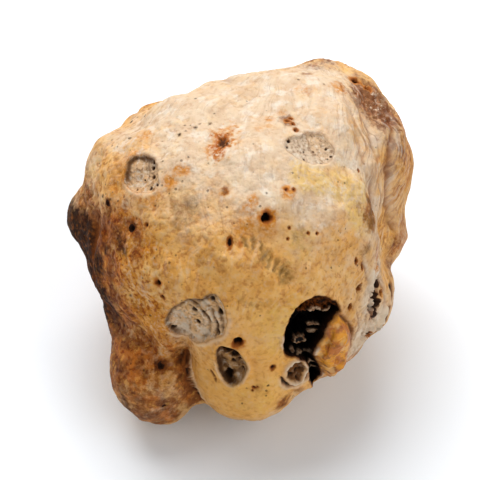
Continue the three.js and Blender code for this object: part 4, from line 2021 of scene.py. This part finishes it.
def tints() -> list[Tint]:
    """The soft areas of colour and texture, mask by mask.

    Each row is an azimuth, an elevation, a radius and, where they aren't 1, 1 and 0, the strength, the
    stretch and the turn.

    Returns:
        The areas.
    """
    areas = {
        # on the top the cream areas also carry painted highlight
        "cream": [
            (-110, 66, 10.0), (139, 58, 8.0), (60, 76, 8.0, 0.9), (98, 47, 6.0, 0.8), (76, 30, 6.0, 0.6),
            (50, 52, 6.0, 0.7), (-30, 68, 6.0, 0.6), (10, 64, 3.4), (12, 72, 3.0), (-70, 66, 4.0, 0.6),
            (-98, 8, 1.2, 0.6), (62, 3, 2.0, 1.0, 2.2, -8), (54, -14, 2.6, 1.0, 1.8, -30),
            (180, 46, 7.0, 0.7), (70, 44, 3.0, 0.7),
        ],
        "ochre": [
            (103.5, 43.3, 2.0, 0.7, 1.6), (95, 29, 2.4, 0.8, 1.6), (3, -14, 9.0, 0.9), (6, 28, 9.0, 0.9),
            (-30, 26, 8.0), (-50, 6, 7.0), (-60, 48, 4.5, 0.6), (-92, 48, 4.0, 0.6), (-30, 52, 4.0, 0.5),
            (-86, 38, 4.5, 0.8), (38, 16, 6.0, 0.6), (50, 32, 4.6, 0.75), (120, 0, 9.0, 0.7),
            (105, 16, 5.0, 0.8), (-140, 10, 9.0, 0.8), (80, 4, 4.0, 0.8, 1.6), (55, 18, 2.4, 0.7, 1.4),
        ],
        "yellow": [
            (58.4, 60.7, 2.0), (64.1, 55.5, 1.8, 0.9), (72.8, 46.5, 2.6), (71, 36, 3.4, 0.75),
            (30, 42, 2.6, 0.5), (18, 10, 4.5, 0.6), (8, -20, 4.0, 0.4),
        ],
        "amber": [
            (61, 58, 0.9, 0.35), (72, 49, 1.0, 0.35), (-40, 4, 4.4, 0.9), (-36, -16, 4.6, 0.8),
            (-54.4, 21.5, 2.4, 0.9), (-47.5, 17.5, 2.4, 0.9), (-61, 31.5, 1.6, 0.7), (-78, 38, 2.4, 0.6),
            (-84, 45, 2.4, 0.7), (-72, 44.5, 2.0, 0.6), (-44, 19, 2.0, 0.6), (-42, 10, 2.2, 0.6),
            (17, 54, 1.5, 0.9), (4, 53, 1.6, 0.8), (-18, -12, 1.8, 0.4), (37.1, 60.4, 1.0, 0.9),
            (9.5, 61.6, 0.9, 0.8), (115.9, 81.7, 0.8, 0.55), (125, 78, 0.8, 0.6), (133.7, 74.1, 0.8, 0.6),
            (132.1, 68.2, 0.9, 0.55), (130, 44.4, 1.4, 0.7), (127.6, 36.5, 1.3, 0.6),
            (139.2, 54.8, 1.4, 0.35), (5.1, 58.4, 1.2, 0.6), (15.9, 50.7, 1.3, 0.7),
            (-14.3, 64.5, 0.7, 0.8), (-58.3, 58.6, 1.1, 0.9), (-57.6, 63.1, 1.3, 0.8, 0.6, 20),
            (-59.5, 50, 1.4, 0.6), (-103, 53, 0.9, 0.6), (-59, 63, 0.9, 0.8), (64, 10, 0.9, 0.7),
            (-64, 30, 3.2, 0.9), (-50, 33, 2.6, 0.8), (74, 29, 2.2, 0.6, 1.5),
        ],
        "rust": [
            (-59, 35, 1.3, 0.7), (-0.4, 5.4, 0.9, 0.8, 0.6), (-72, 19.7, 1.8, 0.8), (-59, 14.8, 2.0, 0.8),
            (-55, 6, 3.0, 0.5), (-42, -14, 3.4, 0.5), (116, 30, 1.6, 0.8), (68, 12, 1.0, 0.6),
            (110, 20, 3.0, 0.5, 2.0), (92, -4, 3.0, 0.5),
        ],
        "red": [
            (120.5, 69, 1.1, 0.9), (121, 33, 3.6, 1.0, 1.2), (104, 26, 2.2, 0.5, 2.0),
            (150, 36, 2.6, 0.5),
        ],
        # on the left flank the brown is partly painted shade
        "brown": [
            (147, 45.2, 0.8, 0.6, 0.6), (-60, 34, 1.2, 0.8), (-31, -18, 1.3, 0.9), (-78, 31, 0.9, 0.7),
            (84, -5, 2.0, 0.5, 1.6), (60, 21, 1.0, 0.4, 1.4), (54, -6, 0.9, 0.4), (16, -26.3, 1.2, 0.85),
            (21.5, -24.5, 0.9, 0.6), (-80, 6, 5.4), (-70, 26, 2.8, 0.85), (-55, 36, 1.5, 0.6),
            (-64, 31, 1.6, 0.6), (-13.7, 65.8, 0.5, 0.7, 1.6), (-72, 8, 5.0), (-57, 12, 2.4, 0.7),
            (-50, 0, 2.6, 0.8), (-66, -14, 6.0), (-61.8, 25.4, 1.8, 0.9), (-49.2, 28.4, 1.3, 0.8),
            (-84, -18, 8.0), (-46, -18, 5.0, 0.9), (-32, -28, 4.5, 0.8), (-26, -14, 2.0, 0.6, 1.6),
            (-95, 12, 3.4, 0.7), (0, 46.3, 0.5, 0.8), (180, -24, 9.0, 0.8), (130, -34, 8.0, 0.7),
            (-130, -30, 9.0, 0.9), (44, -30, 4.0, 0.5), (74, 30, 1.6, 0.75, 1.4), (70, 36, 1.0, 0.35),
            (6, -15.5, 1.0, 0.35, 0.6),
        ],
        # the large areas on the left flank and in the chin's cleft are dark skin and painted shade; the small
        # ones are dark spots
        "umber_and_shade": [
            (-98, 0, 2.6), (-92, -8, 3.4), (-88, 10, 1.6, 0.7), (-84, -14, 3.4), (-90, 3, 2.6),
            (-82, 8, 2.2, 0.9), (-85, -2, 3.2), (-78, 2, 3.0), (-70, 6, 1.8, 0.8), (-78, -8, 3.4),
            (-68, -4, 3.0), (-62, -10, 2.4, 0.9), (-72, -18, 4.0), (-66, 16.8, 0.9, 0.6),
            (-60, 26, 1.2, 0.6, 1.6, 30), (-40, -30, 1.8, 0.6), (-58.6, 35.2, 0.8, 0.75, 0.8, 30),
            (-78.4, 31.2, 0.6, 0.7), (-31.4, -17.6, 0.9, 0.6), (-26.6, -28.2, 0.8, 0.5, 0.7),
            (-99.6, 66.8, 0.3, 0.9), (-106, 68.4, 0.22, 0.8), (-111.3, 71.6, 0.3, 0.9),
            (-119, 72.4, 0.22, 0.8), (-126.8, 75.5, 0.3, 0.8), (-112, 67, 0.22, 0.8),
            (-24, -20, 1.0, 0.5, 2.2),
        ],
        "olive": [
            (74, 29, 1.6, 0.6, 1.6), (62, 20, 1.2, 0.5), (12, 41, 1.3, 0.5), (5, 45, 1.1, 0.4),
            (21, 32, 1.4, 0.7), (32, 43, 1.6, 0.5), (-42, 56, 2.4, 0.5), (-34, 48, 1.6, 0.4),
        ],
        "smooth": [
            (4, -16, 8.0), (4, 6, 5.0, 0.8), (24, 44, 3.0, 0.6),
        ],
        "rough": [
            (-60, 0, 12.0, 0.8), (-90, 50, 8.0, 0.6), (180, 10, 14.0, 0.5),
        ],
        "crumple": [
            (121, 33, 3.6, 0.8), (61, 0, 2.0, 0.9, 2.6, -8), (54, -15, 1.8, 0.9, 2.0, -30),
            (150, 30, 3.5, 0.6), (-95, 16, 3.0, 0.5),
        ],
        "speck": [
            (-60, 10, 12.0, 0.8), (-108, 69, 2.2, 1.0, 0.5, 25), (-29, 60, 2.6, 0.9), (-46, 44, 4.0, 0.7),
            (-90, 36, 4.0, 0.7), (-20, 22, 5.0, 0.5), (60, 40, 3.4, 0.5), (8, -26, 4.0, 0.5),
            (180, 0, 14.0, 0.5),
        ],
        "streak": [
            (104, 36, 6.0, 0.8, 1.4), (86, 12, 6.0, 0.8, 1.6), (58, -2, 5.0, 0.6, 1.8),
            (150, 62, 6.0, 0.35), (-20, 50, 5.0, 0.3), (106, 8, 7.0, 0.7), (180, 20, 10.0, 0.5),
        ],
    }
    return [
        Tint(mask, (azimuth, elevation), *sizes)
        for mask, rows in areas.items()
        for azimuth, elevation, *sizes in rows
    ]


def main() -> None:
    """Builds the truffle and the studio."""
    logging.basicConfig(level=logging.INFO, format="%(name)s: %(message)s")
    Studio().build()
    for make in (make_mottle, make_wrinkles, make_pores, make_flesh, make_grain):
        make()
    truffle = TruffleSkin(scars(), pits(), creases(), overlaps(), ribs(), tints())
    piece = truffle.build()
    truffle.dress(piece, TruffleFinish())
    triangles = sum(len(face.vertices) - 2 for face in piece.data.polygons)
    log.info("%s: %d points, %d triangles", piece.name, len(piece.data.vertices), triangles)


if __name__ == "__main__":
    main()
